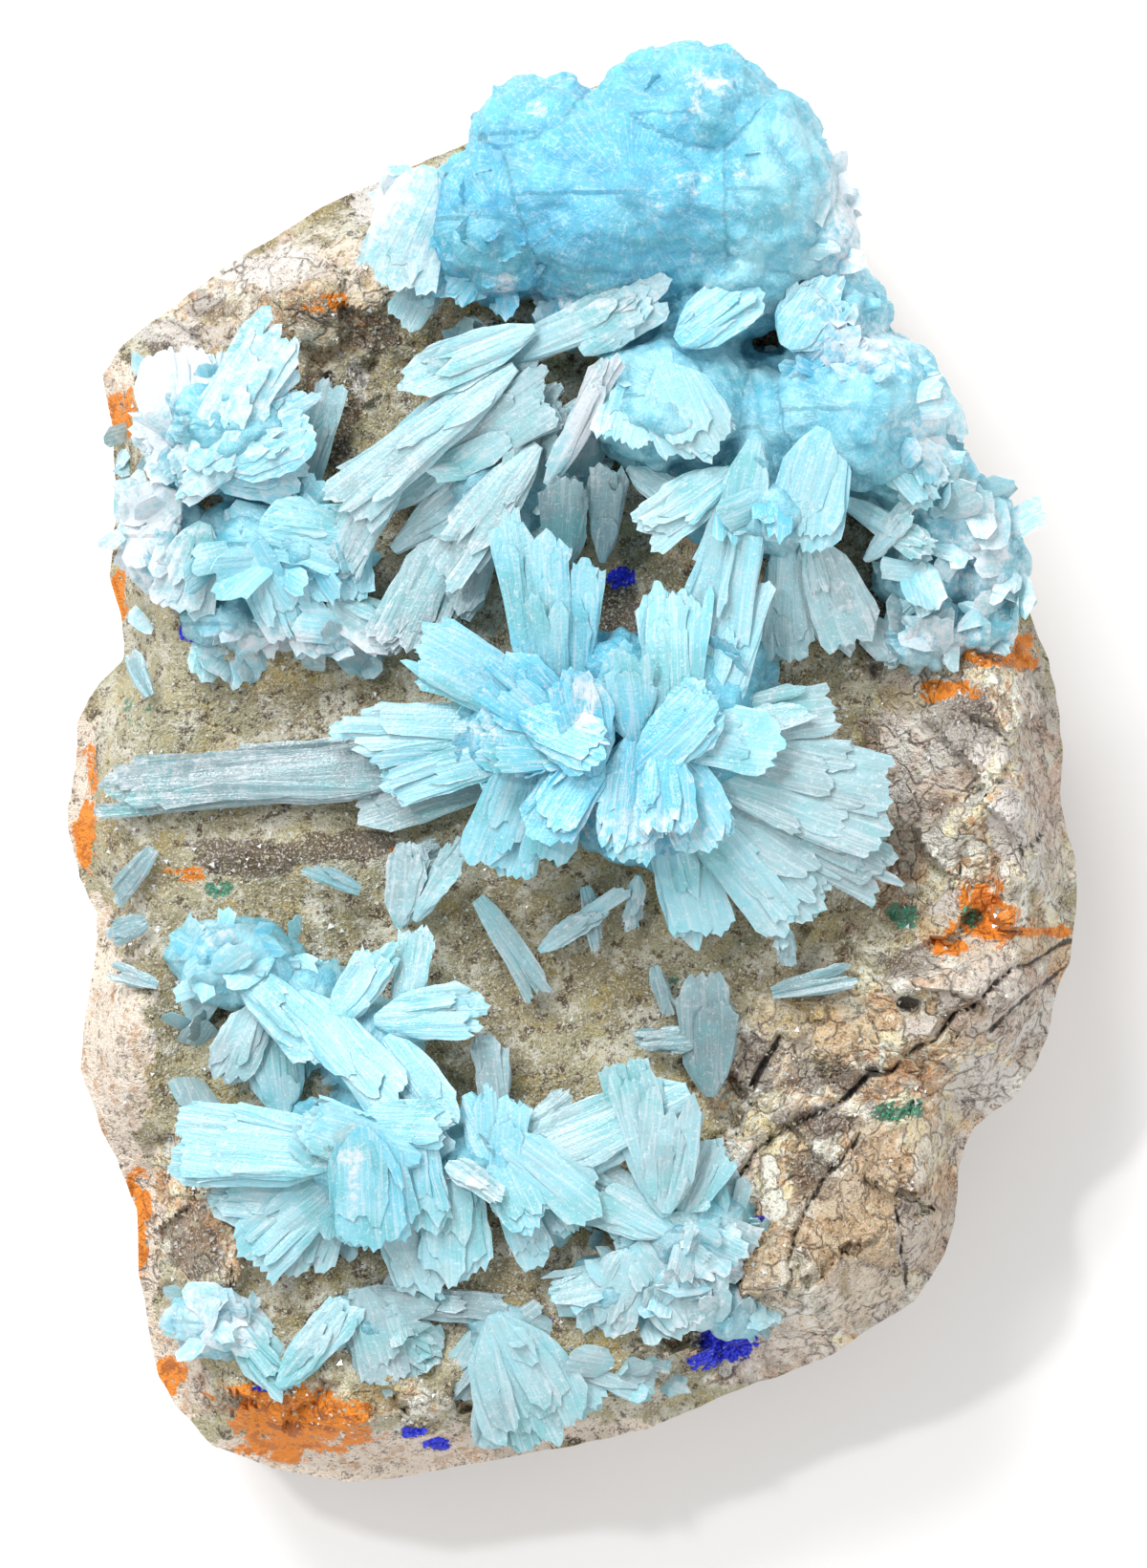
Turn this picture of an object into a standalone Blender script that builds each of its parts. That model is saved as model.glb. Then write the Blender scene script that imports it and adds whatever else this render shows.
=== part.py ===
"""Aragonite on rock: a loose hand specimen that lies on its flat broken back, crystals up.

All lengths in the tables are millimetres, written as (x, y, z) with z above the surface that the
specimen lies on. X runs across the specimen, Y along its length, and the pointed end with the large
dome of crystals is at +Y. The origin is on the flat back, under the middle of the specimen.
"""

import math

import bmesh
import bpy
from mathutils import Matrix, Vector, noise

MM = 0.001
OBJECT_NAME = "aragonite_on_rock"

# Rock
FLOOR_LEVEL = 18.0
FLOOR_CELLS_ACROSS = 20
FLOOR_CELLS_ALONG = 26
RIM_DROP = 4.5
RIM_DROP_START = 0.84
BACK_SHRINK = 0.86
LENGTH_TO_WIDTH = 1.38
FLOOR_WAVE = 0.19
FLOOR_GRAIN_WAVE = 0.7
BELOW_BACK = -1.0
FLANK_STEPS = ((11.5, 1.0), (8.0, 0.985), (4.0, 0.93), (0.0, BACK_SHRINK))
FLANK_ROUGHNESS = 0.08
FLOOR_ROUGHNESS = 0.8
FLOOR_GRAIN = 0.16
CRYSTAL_GAP = 0.32
CRACK_WIDTH = 0.9
CRACK_DEPTH = 1.6
CRACK_OVERSHOOT = 1.2

# Crystals
LUMP_ROUGHNESS = 0.13
LUMP_WAVE = 2.3
TOOTH_DEPTH = 0.13
TOOTH_SWING = 0.06
TOOTH_WAVE = 2.4
TIP_ROUNDING = 0.16
CHISEL_SLANT = 0.9
BLADE_SIDES = 6
FLAT_ANGLE = math.radians(0.6)

# The edge of the rock seen from above, clockwise from the top.
ROCK_RIM = (
    (4.5, 37.0), (8.5, 36.6), (11.2, 35.0), (12.9, 32.4), (13.6, 29.0), (14.1, 25.5), (15.2, 22.6),
    (17.6, 20.0), (20.0, 17.4), (21.4, 14.8), (22.6, 12.2), (23.4, 9.6), (24.3, 7.2), (25.1, 5.5),
    (25.5, 3.0), (25.7, 1.0), (25.7, -1.5), (26.1, -3.5), (26.6, -5.0), (26.6, -7.0), (26.4, -9.0),
    (26.2, -10.5), (25.5, -12.0), (25.0, -14.2), (24.4, -15.8), (23.3, -17.6), (21.2, -19.1),
    (20.6, -20.2), (20.3, -21.5), (20.1, -24.0), (19.6, -25.8), (18.0, -28.3), (16.0, -29.6),
    (13.8, -31.1), (10.5, -32.4), (6.8, -33.9), (3.8, -35.1), (-0.2, -36.0), (-4.5, -36.7),
    (-8.5, -37.5), (-12.0, -37.9), (-16.0, -37.2), (-19.0, -36.0), (-21.0, -33.8), (-21.9, -32.3),
    (-22.3, -30.5), (-22.9, -26.8), (-23.1, -23.5), (-24.0, -20.8), (-25.0, -19.0), (-26.0, -16.0),
    (-25.8, -13.0), (-25.2, -9.8), (-25.2, -7.8), (-26.0, -6.0), (-26.8, -3.0), (-26.3, 0.0),
    (-26.2, 2.2), (-25.0, 4.3), (-23.8, 5.6), (-23.9, 7.6), (-24.5, 10.0), (-24.1, 14.0),
    (-24.4, 18.0), (-24.9, 20.6), (-23.8, 22.3), (-21.0, 24.3), (-17.5, 27.0), (-13.0, 29.5),
    (-8.5, 31.6), (-5.2, 32.9), (-3.4, 34.2), (-0.5, 35.2), (2.4, 36.3),
)

# Swells and hollows of the front face: x, y, radius in x, radius in y, height.
FLOOR_SWELLS = (
    (-14.0, 24.5, 6.5, 4.0, 1.6),
    (3.0, 28.0, 9.0, 7.0, 2.0),
    (-18.0, 2.0, 7.0, 4.5, -1.4),
    (-15.0, -4.6, 6.0, 1.3, 1.0),
    (3.0, -12.0, 10.0, 5.0, -1.8),
    (-19.0, -14.0, 3.5, 6.0, -0.8),
    (20.5, 0.5, 4.2, 5.5, 3.4),
    (21.5, -13.0, 4.5, 4.0, 2.2),
    (15.5, -24.5, 4.8, 5.0, 3.2),
    (23.6, -3.0, 1.6, 4.5, 1.6),
    (17.3, -14.8, 1.8, 1.2, 1.0),
    (-13.0, -34.5, 8.0, 1.8, 1.2),
    (8.0, -31.0, 4.0, 2.0, -1.0),
    (-24.0, -16.0, 1.8, 5.0, 1.4),
)

# The deep cracks of the bare right-hand side, as runs of points on the front face.
CRACKS = (
    ((26.8, -9.2), (24.0, -10.5), (22.0, -11.5), (20.0, -13.0), (18.0, -15.0), (15.5, -16.2),
     (13.0, -18.3), (10.6, -19.6), (9.2, -21.2), (8.8, -23.6)),
    ((15.3, -19.0), (14.0, -20.8), (12.6, -22.6), (11.6, -24.8), (11.2, -28.0)),
    ((10.9, -14.3), (9.3, -17.0)),
)

# A lump is (x, y, z of its centre, radius in x, radius in y, radius in z, detail level).
# A sheaf is (root, tip, width at the root, width at the tip, thickness, teeth).
# A blade is (root, tip, width at the root, width at the tip, thickness).

UPPER_LUMPS = (
    (3.0, 29.4, 22.4, 9.4, 6.0, 8.8, 2),
    (-3.8, 28.4, 22.2, 4.4, 5.0, 7.2, 2),
    (9.8, 29.6, 22.6, 4.4, 5.6, 8.4, 2),
    (6.0, 33.8, 22.8, 5.0, 3.9, 7.6, 2),
    (-1.6, 32.8, 22.6, 4.0, 3.2, 6.0, 1),
    (12.6, 27.2, 21.5, 2.7, 4.4, 6.6, 1),
    (9.3, 25.3, 22.0, 3.8, 2.6, 6.2, 1),
    (5.2, 19.0, 21.5, 4.9, 4.4, 7.0, 2),
    (14.6, 18.4, 21.3, 5.2, 4.8, 7.4, 2),
    (9.8, 17.4, 20.4, 3.4, 4.6, 6.4, 1),
    (17.6, 15.4, 20.3, 3.2, 3.2, 4.8, 1),
    (9.6, 13.2, 21.6, 4.2, 2.5, 5.6, 2),
    (19.8, 12.8, 19.3, 3.4, 2.8, 3.8, 1),
    (21.9, 10.4, 18.3, 2.5, 2.7, 3.4, 1),
    (18.0, 9.8, 19.6, 2.5, 2.4, 3.2, 1),
    (21.6, 7.4, 18.6, 2.3, 1.8, 2.8, 1),
    (18.2, 6.6, 19.6, 2.5, 1.5, 2.3, 1),
    (-3.6, 15.4, 19.4, 5.8, 4.6, 4.6, 1),
)
UPPER_SHEAVES = (
    ((-11.0, 15.0, 20.2), (-2.2, 22.2, 25.0), 1.6, 2.6, 1.3, 2),
    ((-10.4, 13.2, 20.2), (-0.6, 19.6, 26.2), 2.0, 2.6, 1.4, 3),
    ((-9.4, 11.2, 20.5), (1.0, 20.4, 25.0), 2.0, 3.0, 1.4, 3),
    ((-4.4, 20.8, 23.6), (5.2, 24.9, 28.4), 2.0, 1.6, 1.4, 2),
    ((-1.4, 14.6, 24.0), (2.3, 21.3, 28.4), 1.5, 1.3, 1.2, 1),
    ((-0.5, 10.2, 20.6), (-0.3, 15.4, 25.6), 1.6, 2.6, 1.2, 2),
    ((1.5, 10.6, 20.6), (1.8, 16.4, 25.8), 1.2, 1.8, 1.1, 1),
    ((2.8, 15.4, 23.6), (6.6, 13.0, 25.2), 1.2, 1.6, 1.1, 1),
    ((-6.6, 12.4, 21.0), (-9.4, 5.8, 20.6), 2.2, 3.0, 1.3, 3),
    ((-4.6, 12.6, 21.0), (-6.4, 6.4, 20.8), 1.8, 2.4, 1.2, 2),
    ((-7.2, 25.2, 21.5), (-8.6, 31.0, 25.0), 2.0, 3.0, 1.6, 2),
    ((-6.6, 27.4, 21.0), (-9.0, 22.6, 22.6), 1.8, 2.2, 1.2, 1),
    ((11.0, 12.4, 24.6), (11.2, 5.0, 21.2), 1.6, 2.6, 1.3, 3),
    ((12.2, 12.0, 24.8), (14.9, 5.6, 21.4), 1.6, 3.8, 1.3, 4),
    ((13.6, 14.0, 23.4), (19.0, 11.0, 23.4), 1.0, 1.2, 1.0, 1),
    ((15.2, 10.6, 22.8), (17.8, 13.6, 24.4), 0.9, 1.1, 1.0, 1),
    ((16.2, 7.2, 20.6), (19.0, 10.4, 22.8), 0.9, 1.2, 1.0, 1),
    ((12.0, 20.5, 25.5), (14.4, 23.6, 27.6), 3.0, 4.2, 1.6, 3),
    ((16.4, 19.4, 24.4), (19.4, 19.4, 24.0), 3.0, 4.4, 1.5, 3),
    ((3.4, 20.6, 26.6), (2.4, 16.2, 27.4), 2.0, 3.4, 1.4, 2),
    ((-4.8, 26.4, 24.5), (-6.9, 24.2, 23.4), 2.4, 3.0, 1.4, 2),
)

LEFT_LUMPS = (
    (-18.2, 17.6, 20.0, 4.6, 3.9, 5.2, 2),
    (-15.6, 11.4, 18.8, 4.6, 2.9, 3.8, 2),
    (-21.4, 12.0, 17.4, 2.5, 3.4, 3.4, 1),
    (-17.8, 7.4, 17.9, 2.9, 1.6, 2.3, 1),
    (-12.6, 7.4, 18.3, 3.0, 1.6, 2.3, 1),
)
LEFT_SHEAVES = (
    ((-19.2, 16.6, 23.6), (-15.0, 23.6, 24.2), 3.2, 2.6, 1.6, 1),
    ((-19.8, 16.2, 22.8), (-20.4, 22.2, 22.6), 3.4, 4.6, 1.5, 3),
    ((-17.8, 17.2, 23.2), (-13.6, 18.6, 23.0), 3.6, 4.6, 1.6, 3),
    ((-18.4, 16.4, 22.4), (-14.2, 14.6, 21.6), 3.4, 2.6, 1.4, 2),
    ((-19.6, 17.4, 22.4), (-23.0, 16.6, 21.0), 3.2, 5.0, 1.4, 3),
    ((-17.8, 13.6, 21.2), (-12.2, 8.8, 21.2), 2.4, 2.8, 1.3, 2),
    ((-18.0, 13.4, 20.8), (-16.0, 8.6, 20.6), 2.0, 1.4, 1.2, 1),
    ((-11.8, 12.8, 20.8), (-11.8, 8.2, 20.8), 2.2, 2.4, 1.3, 2),
    ((-14.6, 12.8, 19.6), (-12.4, 20.6, 20.8), 1.6, 1.2, 1.1, 1),
    ((-16.4, 9.0, 19.2), (-16.2, 5.4, 18.6), 2.0, 2.6, 1.2, 2),
    ((-13.0, 9.0, 19.4), (-12.0, 5.4, 18.8), 2.4, 3.4, 1.2, 3),
)

ROSETTE_LUMPS = (
    (-0.6, 1.6, 20.5, 4.6, 4.4, 7.2, 2),
    (6.4, 3.4, 20.8, 3.9, 5.8, 7.0, 2),
    (3.6, -2.2, 20.4, 4.6, 3.2, 6.2, 2),
    (2.6, 4.4, 23.4, 2.5, 2.4, 4.6, 2),
)
ROSETTE_SHEAVES = (
    ((-1.6, 3.0, 23.4), (-3.3, 13.2, 24.4), 2.2, 2.2, 1.4, 2),
    ((-0.8, 3.4, 24.4), (-1.2, 12.0, 27.2), 1.8, 1.8, 1.3, 1),
    ((0.2, 3.4, 24.2), (0.6, 10.8, 26.4), 1.6, 1.8, 1.2, 1),
    ((-2.2, 3.0, 23.4), (-9.0, 6.6, 23.6), 2.6, 3.8, 1.4, 3),
    ((-2.8, 2.0, 22.6), (-12.5, 1.8, 21.8), 2.6, 2.8, 1.4, 2),
    ((-2.6, 1.0, 23.2), (-10.0, -1.2, 21.6), 2.4, 2.6, 1.3, 2),
    ((-2.0, 0.6, 24.0), (-4.6, -6.0, 22.0), 2.6, 4.4, 1.4, 3),
    ((-0.6, 0.2, 24.8), (-1.2, -5.2, 23.2), 2.4, 2.8, 1.4, 2),
    ((6.6, 2.0, 23.6), (13.8, 3.0, 23.4), 2.2, 2.8, 1.3, 2),
    ((7.0, 0.8, 23.2), (16.8, -1.0, 22.6), 2.4, 3.4, 1.4, 3),
    ((6.8, -0.4, 23.4), (16.6, -4.0, 22.2), 2.4, 3.0, 1.3, 2),
    ((6.6, -1.4, 22.6), (17.6, -6.4, 20.8), 2.2, 2.4, 1.3, 2),
    ((6.2, -2.0, 22.8), (14.2, -7.6, 20.9), 2.4, 3.8, 1.3, 3),
    ((5.8, -2.2, 23.8), (11.4, -8.8, 21.0), 2.2, 2.6, 1.3, 2),
    ((5.0, -2.6, 22.8), (6.8, -9.4, 20.8), 2.8, 3.6, 1.3, 3),
    ((7.6, 10.4, 24.2), (7.8, 3.4, 24.4), 3.4, 4.4, 1.6, 2),
    ((5.0, 3.6, 26.2), (5.6, 9.6, 26.4), 3.4, 3.8, 1.5, 2),
    ((-3.0, 0.2, 20.4), (-11.6, -2.8, 19.4), 2.6, 3.4, 1.2, 2),
)

FLOOR_SPRAY_SHEAVES = (
    ((-12.9, -1.0, 19.3), (-25.0, -1.2, 19.0), 3.6, 1.6, 1.4, 1),
    ((-13.2, 0.6, 18.6), (-19.4, -0.6, 18.4), 2.6, 1.4, 1.2, 1),
)

LOWER_LEFT_LUMPS = (
    (-17.6, -10.4, 17.8, 3.8, 2.6, 4.0, 2),
    (-13.6, -12.2, 17.8, 2.4, 2.2, 3.6, 1),
    (-11.6, -20.0, 19.4, 4.4, 3.4, 5.2, 2),
    (-5.2, -20.6, 18.6, 3.4, 2.6, 4.4, 2),
    (-10.4, -15.4, 18.2, 3.0, 3.4, 3.8, 1),
)
LOWER_LEFT_SHEAVES = (
    ((-14.4, -12.0, 20.8), (-9.0, -18.0, 23.4), 2.6, 2.8, 1.5, 2),
    ((-10.4, -13.4, 21.2), (-4.4, -13.0, 21.4), 2.2, 3.0, 1.4, 3),
    ((-8.8, -13.0, 20.6), (-8.2, -8.2, 20.4), 2.0, 1.8, 1.2, 2),
    ((-15.2, -18.6, 19.0), (-16.0, -12.4, 19.4), 2.2, 3.4, 1.3, 2),
    ((-11.8, -20.4, 23.0), (-21.4, -19.0, 21.8), 3.2, 4.6, 1.6, 4),
    ((-12.0, -21.0, 21.6), (-17.4, -25.8, 20.4), 2.6, 3.8, 1.4, 3),
    ((-11.0, -18.6, 23.2), (-6.2, -18.8, 23.4), 2.4, 2.6, 1.4, 2),
    ((-11.0, -18.8, 24.4), (-10.2, -25.8, 22.2), 3.2, 4.6, 1.6, 4),
    ((-12.4, -20.8, 20.4), (-14.6, -26.8, 19.4), 2.4, 3.4, 1.3, 2),
    ((-3.8, -22.2, 21.8), (-3.6, -16.6, 22.4), 2.2, 2.8, 1.4, 2),
    ((-6.6, -20.8, 22.6), (-3.6, -22.6, 23.0), 1.6, 1.2, 1.1, 1),
    ((-6.4, -20.6, 21.6), (-6.2, -27.2, 20.4), 2.6, 3.8, 1.4, 3),
    ((-4.0, -20.8, 21.6), (-1.6, -26.6, 20.6), 1.8, 2.2, 1.3, 1),
    ((-2.8, -20.6, 20.8), (-0.2, -24.8, 20.4), 1.6, 1.8, 1.2, 1),
    ((-4.4, -21.0, 21.2), (0.4, -17.4, 21.6), 1.8, 2.4, 1.3, 2),
    ((-4.0, -19.4, 19.6), (-4.7, -13.6, 19.9), 1.4, 1.8, 1.2, 1),
    ((-4.2, -21.2, 20.2), (1.6, -20.6, 20.2), 1.6, 2.0, 1.2, 1),
)

CURVED_FAN_LUMPS = (
    (6.0, -24.4, 17.8, 3.9, 3.4, 3.6, 2),
    (2.6, -27.4, 17.6, 3.2, 2.0, 2.8, 1),
    (8.2, -28.4, 17.0, 2.2, 1.9, 2.6, 1),
)
CURVED_FAN_SHEAVES = (
    ((4.8, -23.6, 21.4), (2.7, -15.4, 22.8), 2.0, 2.8, 1.4, 2),
    ((4.8, -23.4, 21.8), (5.4, -16.8, 23.2), 2.2, 3.4, 1.5, 3),
    ((5.6, -23.6, 20.8), (7.6, -19.4, 21.2), 1.6, 2.4, 1.3, 2),
    ((4.4, -24.8, 20.0), (1.9, -24.2, 20.4), 1.8, 2.4, 1.3, 2),
    ((3.4, -26.6, 19.8), (-1.8, -27.8, 19.8), 1.8, 2.0, 1.2, 1),
)

BOTTOM_LUMPS = (
    (-18.8, -29.2, 16.6, 2.7, 2.2, 3.0, 1),
    (-10.6, -29.2, 16.6, 3.6, 1.8, 2.8, 1),
    (-3.4, -29.8, 16.8, 2.6, 2.0, 2.8, 1),
)
BOTTOM_SHEAVES = (
    ((-18.6, -28.2, 18.6), (-14.4, -33.0, 18.4), 1.8, 2.0, 1.3, 1),
    ((-15.4, -32.6, 19.2), (-11.6, -27.8, 19.6), 1.8, 2.2, 1.3, 1),
    ((-11.8, -28.2, 18.6), (-7.4, -32.4, 17.9), 2.4, 4.6, 1.3, 3),
    ((-11.8, -27.8, 18.8), (-2.6, -28.8, 18.6), 1.6, 1.8, 1.2, 1),
    ((-6.6, -32.0, 17.4), (-1.2, -28.2, 19.2), 1.0, 1.1, 1.0, 1),
    ((-3.8, -29.6, 18.6), (-3.2, -36.0, 16.2), 2.2, 4.2, 1.4, 3),
    ((-2.6, -30.0, 18.2), (1.6, -33.8, 16.8), 1.8, 2.6, 1.3, 2),
    ((-2.4, -29.6, 18.0), (5.4, -32.4, 16.6), 1.8, 3.4, 1.3, 3),
)

# Lone blades that lie on the rock between the clusters: node name and blade.
LONE_BLADES = (
    ("floor_blade_1", ((-5.0, -7.0, 19.2), (-1.2, -12.4, 18.0), 1.6, 1.3, 1.2)),
    ("floor_blade_2", ((-9.6, -5.4, 18.9), (-6.4, -4.4, 19.2), 1.2, 1.4, 1.0)),
    ("floor_blade_3", ((0.6, -6.4, 18.2), (1.5, -10.4, 17.6), 1.2, 1.0, 1.0)),
    ("floor_blade_4", ((-11.2, -6.6, 19.5), (-14.2, -5.2, 19.9), 1.2, 1.0, 1.0)),
    ("floor_blade_5", ((4.2, -10.6, 17.8), (5.0, -13.2, 17.4), 1.0, 0.9, 0.9)),
    ("floor_blade_6", ((10.4, -12.0, 18.2), (15.4, -10.8, 19.4), 1.4, 1.2, 1.0)),
    ("left_edge_rod_1", ((-22.0, -4.4, 18.7), (-24.3, -7.4, 17.6), 1.2, 1.3, 1.1)),
    ("left_edge_rod_2", ((-22.4, -8.2, 18.5), (-25.0, -9.2, 17.4), 1.3, 1.5, 1.1)),
    ("left_edge_rod_3", ((-21.8, -11.6, 18.5), (-24.4, -10.6, 17.7), 1.0, 0.9, 0.9)),
    ("left_edge_rod_4", ((-22.2, 3.6, 18.2), (-23.6, 6.2, 17.2), 1.0, 1.0, 1.0)),
)
UPRIGHT_SHEAVES = (
    ((7.2, -17.4, 17.6), (6.9, -10.4, 19.8), 2.4, 2.9, 1.4, 3),
    ((7.0, -14.4, 18.6), (2.2, -14.6, 18.0), 1.6, 1.2, 1.1, 1),
)

# Colours, linear red, green, blue.
ROCK_COLOUR = (0.36, 0.27, 0.17)
SKY_BLUE = (0.23, 0.66, 0.84)
PALE_BLUE = (0.42, 0.73, 0.80)
GREY_BLUE = (0.42, 0.56, 0.60)


def clear_scene():
    for item in list(bpy.data.objects):
        bpy.data.objects.remove(item, do_unlink=True)


def new_collection(name, parent=None):
    collection = bpy.data.collections.new(name)
    (parent or bpy.context.scene.collection).children.link(collection)
    return collection


def new_material(name, colour, roughness):
    material = bpy.data.materials.new(name)
    material.use_nodes = True
    shader = material.node_tree.nodes["Principled BSDF"]
    shader.inputs["Base Color"].default_value = (*colour, 1.0)
    shader.inputs["Roughness"].default_value = roughness
    shader.inputs["Metallic"].default_value = 0.0
    material.diffuse_color = (*colour, 1.0)
    return material


def new_object(name, shape, collection, material=None):
    """Puts a bmesh that was made in millimetres into the collection, in metres."""
    bmesh.ops.scale(shape, vec=(MM, MM, MM), verts=shape.verts)
    bmesh.ops.recalc_face_normals(shape, faces=shape.faces)
    mesh = bpy.data.meshes.new(name)
    shape.to_mesh(mesh)
    shape.free()
    item = bpy.data.objects.new(name, mesh)
    if material:
        mesh.materials.append(material)
    collection.objects.link(item)
    return item


def as_cutter(item):
    item.hide_render = True
    item.display_type = "WIRE"
    return item


def add_boolean(item, operation, other=None, collection=None):
    modifier = item.modifiers.new(operation.lower(), "BOOLEAN")
    modifier.operation = operation
    modifier.solver = "EXACT"
    if collection:
        modifier.operand_type = "COLLECTION"
        modifier.collection = collection
    else:
        modifier.object = other
    return modifier


def merge_flat_faces(item):
    modifier = item.modifiers.new("merge flat faces", "DECIMATE")
    modifier.decimate_type = "DISSOLVE"
    modifier.angle_limit = FLAT_ANGLE
    return modifier


def rim_radius(angle):
    """Distance from the middle of the specimen to the rock's edge in one direction."""
    best = 0.0
    ray = Vector((math.cos(angle), math.sin(angle)))
    for index, start in enumerate(ROCK_RIM):
        a = Vector(start)
        edge = Vector(ROCK_RIM[(index + 1) % len(ROCK_RIM)]) - a
        across = ray.x * edge.y - ray.y * edge.x
        if abs(across) < 1e-9:
            continue
        along_ray = (a.x * edge.y - a.y * edge.x) / across
        along_edge = (a.x * ray.y - a.y * ray.x) / across
        if along_ray > 0.0 and -1e-6 <= along_edge <= 1.0 + 1e-6:
            best = max(best, along_ray)
    return best


def smooth_step(low, high, value):
    share = min(1.0, max(0.0, (value - low) / (high - low)))
    return share * share * (3.0 - 2.0 * share)


def floor_height(x, y, rim_share):
    """Height of the rock's front face at a point that lies at rim_share of the way to the edge."""
    height = FLOOR_LEVEL
    for centre_x, centre_y, radius_x, radius_y, rise in FLOOR_SWELLS:
        off = ((x - centre_x) / radius_x) ** 2 + ((y - centre_y) / radius_y) ** 2
        height += rise * math.exp(-off)
    height += FLOOR_ROUGHNESS * noise.noise(Vector((x * FLOOR_WAVE, y * FLOOR_WAVE, 3.7)))
    height += FLOOR_GRAIN * noise.noise(Vector((x * FLOOR_GRAIN_WAVE, y * FLOOR_GRAIN_WAVE, 9.1)))
    return height - RIM_DROP * smooth_step(RIM_DROP_START, 1.0, rim_share) ** 1.5


def rock_shape(clearance):
    """The rock: a grid bent to its outline, with the flanks drawn down from the edge to a flat back."""
    shape = bmesh.new()
    bmesh.ops.create_grid(
        shape, x_segments=FLOOR_CELLS_ACROSS, y_segments=FLOOR_CELLS_ALONG, size=1.0
    )
    for vert in shape.verts:
        across, along = vert.co.x, vert.co.y
        share = max(abs(across), abs(along))
        angle = math.atan2(along * LENGTH_TO_WIDTH, across)
        reach = share * (rim_radius(angle) + clearance) if share else 0.0
        x = reach * math.cos(angle)
        y = reach * math.sin(angle)
        vert.co = (x, y, floor_height(x, y, share) + clearance)
    for level, shrink in FLANK_STEPS:
        edge = [e for e in shape.edges if e.is_boundary]
        drawn = bmesh.ops.extrude_edge_only(shape, edges=edge)["geom"]
        ring = [v for v in drawn if isinstance(v, bmesh.types.BMVert)]
        for vert in ring:
            angle = math.atan2(vert.co.y, vert.co.x)
            east, north = math.cos(angle), math.sin(angle)
            wobble = noise.noise(Vector((east * 3.0, north * 3.0, level * 0.2)))
            wobble += 0.8 * noise.noise(Vector((east * 9.0, north * 9.0, level * 0.5)))
            rough = FLANK_ROUGHNESS * wobble * (0.3 if level == FLANK_STEPS[0][0] else 1.0)
            reach = (rim_radius(angle) + clearance) * (shrink - abs(rough))
            below = BELOW_BACK if clearance and level == 0.0 else level
            vert.co = (reach * math.cos(angle), reach * math.sin(angle), below)
    bmesh.ops.contextual_create(shape, geom=[e for e in shape.edges if e.is_boundary])
    return shape


def crack_shape(points):
    """A wedge that follows a crack: wide at the rock's surface and sharp at the bottom."""
    last = len(points) - 1
    shape = bmesh.new()
    bmesh.ops.create_circle(shape, segments=3, radius=1.0, cap_ends=True)
    shape.faces.ensure_lookup_table()
    end = shape.faces[0]
    for index, point in enumerate(points):
        if index:
            section = end
            drawn = bmesh.ops.extrude_face_region(shape, geom=[section])["geom"]
            end = next(f for f in drawn if isinstance(f, bmesh.types.BMFace))
            if index > 1:
                bmesh.ops.delete(shape, geom=[section], context="FACES_ONLY")
        before = Vector(points[max(0, index - 1)])
        after = Vector(points[min(last, index + 1)])
        side = (after - before).orthogonal().normalized()
        angle = math.atan2(point[1], point[0])
        share = Vector(point).length / rim_radius(angle)
        surface = floor_height(point[0], point[1], min(1.0, share))
        top = surface + CRACK_OVERSHOOT
        half = CRACK_WIDTH * (1.0 + CRACK_OVERSHOOT / CRACK_DEPTH) * (0.3 if index == last else 0.5)
        bottom, left, right = (loop.vert for loop in end.loops)
        bottom.co = (point[0], point[1], surface - CRACK_DEPTH)
        left.co = (point[0] - side.x * half, point[1] - side.y * half, top)
        right.co = (point[0] + side.x * half, point[1] + side.y * half, top)
    return shape


def lump_shape(x, y, z, radius_x, radius_y, radius_z, detail):
    """A lumpy mass of intergrown crystals, a ball with flat facets."""
    shape = bmesh.new()
    bmesh.ops.create_icosphere(shape, subdivisions=detail, radius=1.0)
    for vert in shape.verts:
        bump = noise.noise(vert.co * LUMP_WAVE + Vector((x, y, z)))
        vert.co *= 1.0 + LUMP_ROUGHNESS * bump
    bmesh.ops.scale(shape, vec=(radius_x, radius_y, radius_z), verts=shape.verts)
    bmesh.ops.translate(shape, vec=(x, y, z), verts=shape.verts)
    return shape


def lay_along(shape, root, tip):
    """Turns a shape made along +Y, flat in XY, so that it runs from root to tip."""
    root = Vector(root)
    forward = (Vector(tip) - root).normalized()
    side = forward.cross(Vector((0.0, 0.0, 1.0))).normalized()
    up = side.cross(forward)
    frame = Matrix((side, forward, up)).transposed().to_4x4()
    bmesh.ops.transform(shape, matrix=Matrix.Translation(root) @ frame, verts=shape.verts)
    return shape


def sheaf_shape(root, tip, root_width, tip_width, thickness, teeth):
    """A sheaf of blades grown side by side: a thin flat fan with a toothed end."""
    length = (Vector(tip) - Vector(root)).length
    columns = 2 * teeth
    shape = bmesh.new()
    bmesh.ops.create_grid(shape, x_segments=columns, y_segments=1, size=0.5)
    for vert in shape.verts:
        column = round((vert.co.x + 0.5) * columns)
        end = vert.co.y > 0.0
        width = tip_width if end else root_width
        reach = 0.0
        if end:
            tooth = column % 2
            swing = TOOTH_SWING * math.sin(TOOTH_WAVE * column + root[0] + 3.0 * root[1])
            reach = length * (1.0 - (0.0 if tooth else TOOTH_DEPTH) + swing * (teeth > 1))
            reach -= TIP_ROUNDING * tip_width * (2.0 * vert.co.x) ** 2
        vert.co = (vert.co.x * width, reach, 0.0)
    bmesh.ops.solidify(shape, geom=list(shape.faces), thickness=thickness)
    bmesh.ops.dissolve_limit(
        shape, angle_limit=FLAT_ANGLE, verts=list(shape.verts), edges=list(shape.edges)
    )
    bmesh.ops.translate(shape, vec=(0.0, 0.0, 0.5 * thickness), verts=shape.verts)
    return lay_along(shape, root, tip)


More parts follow.
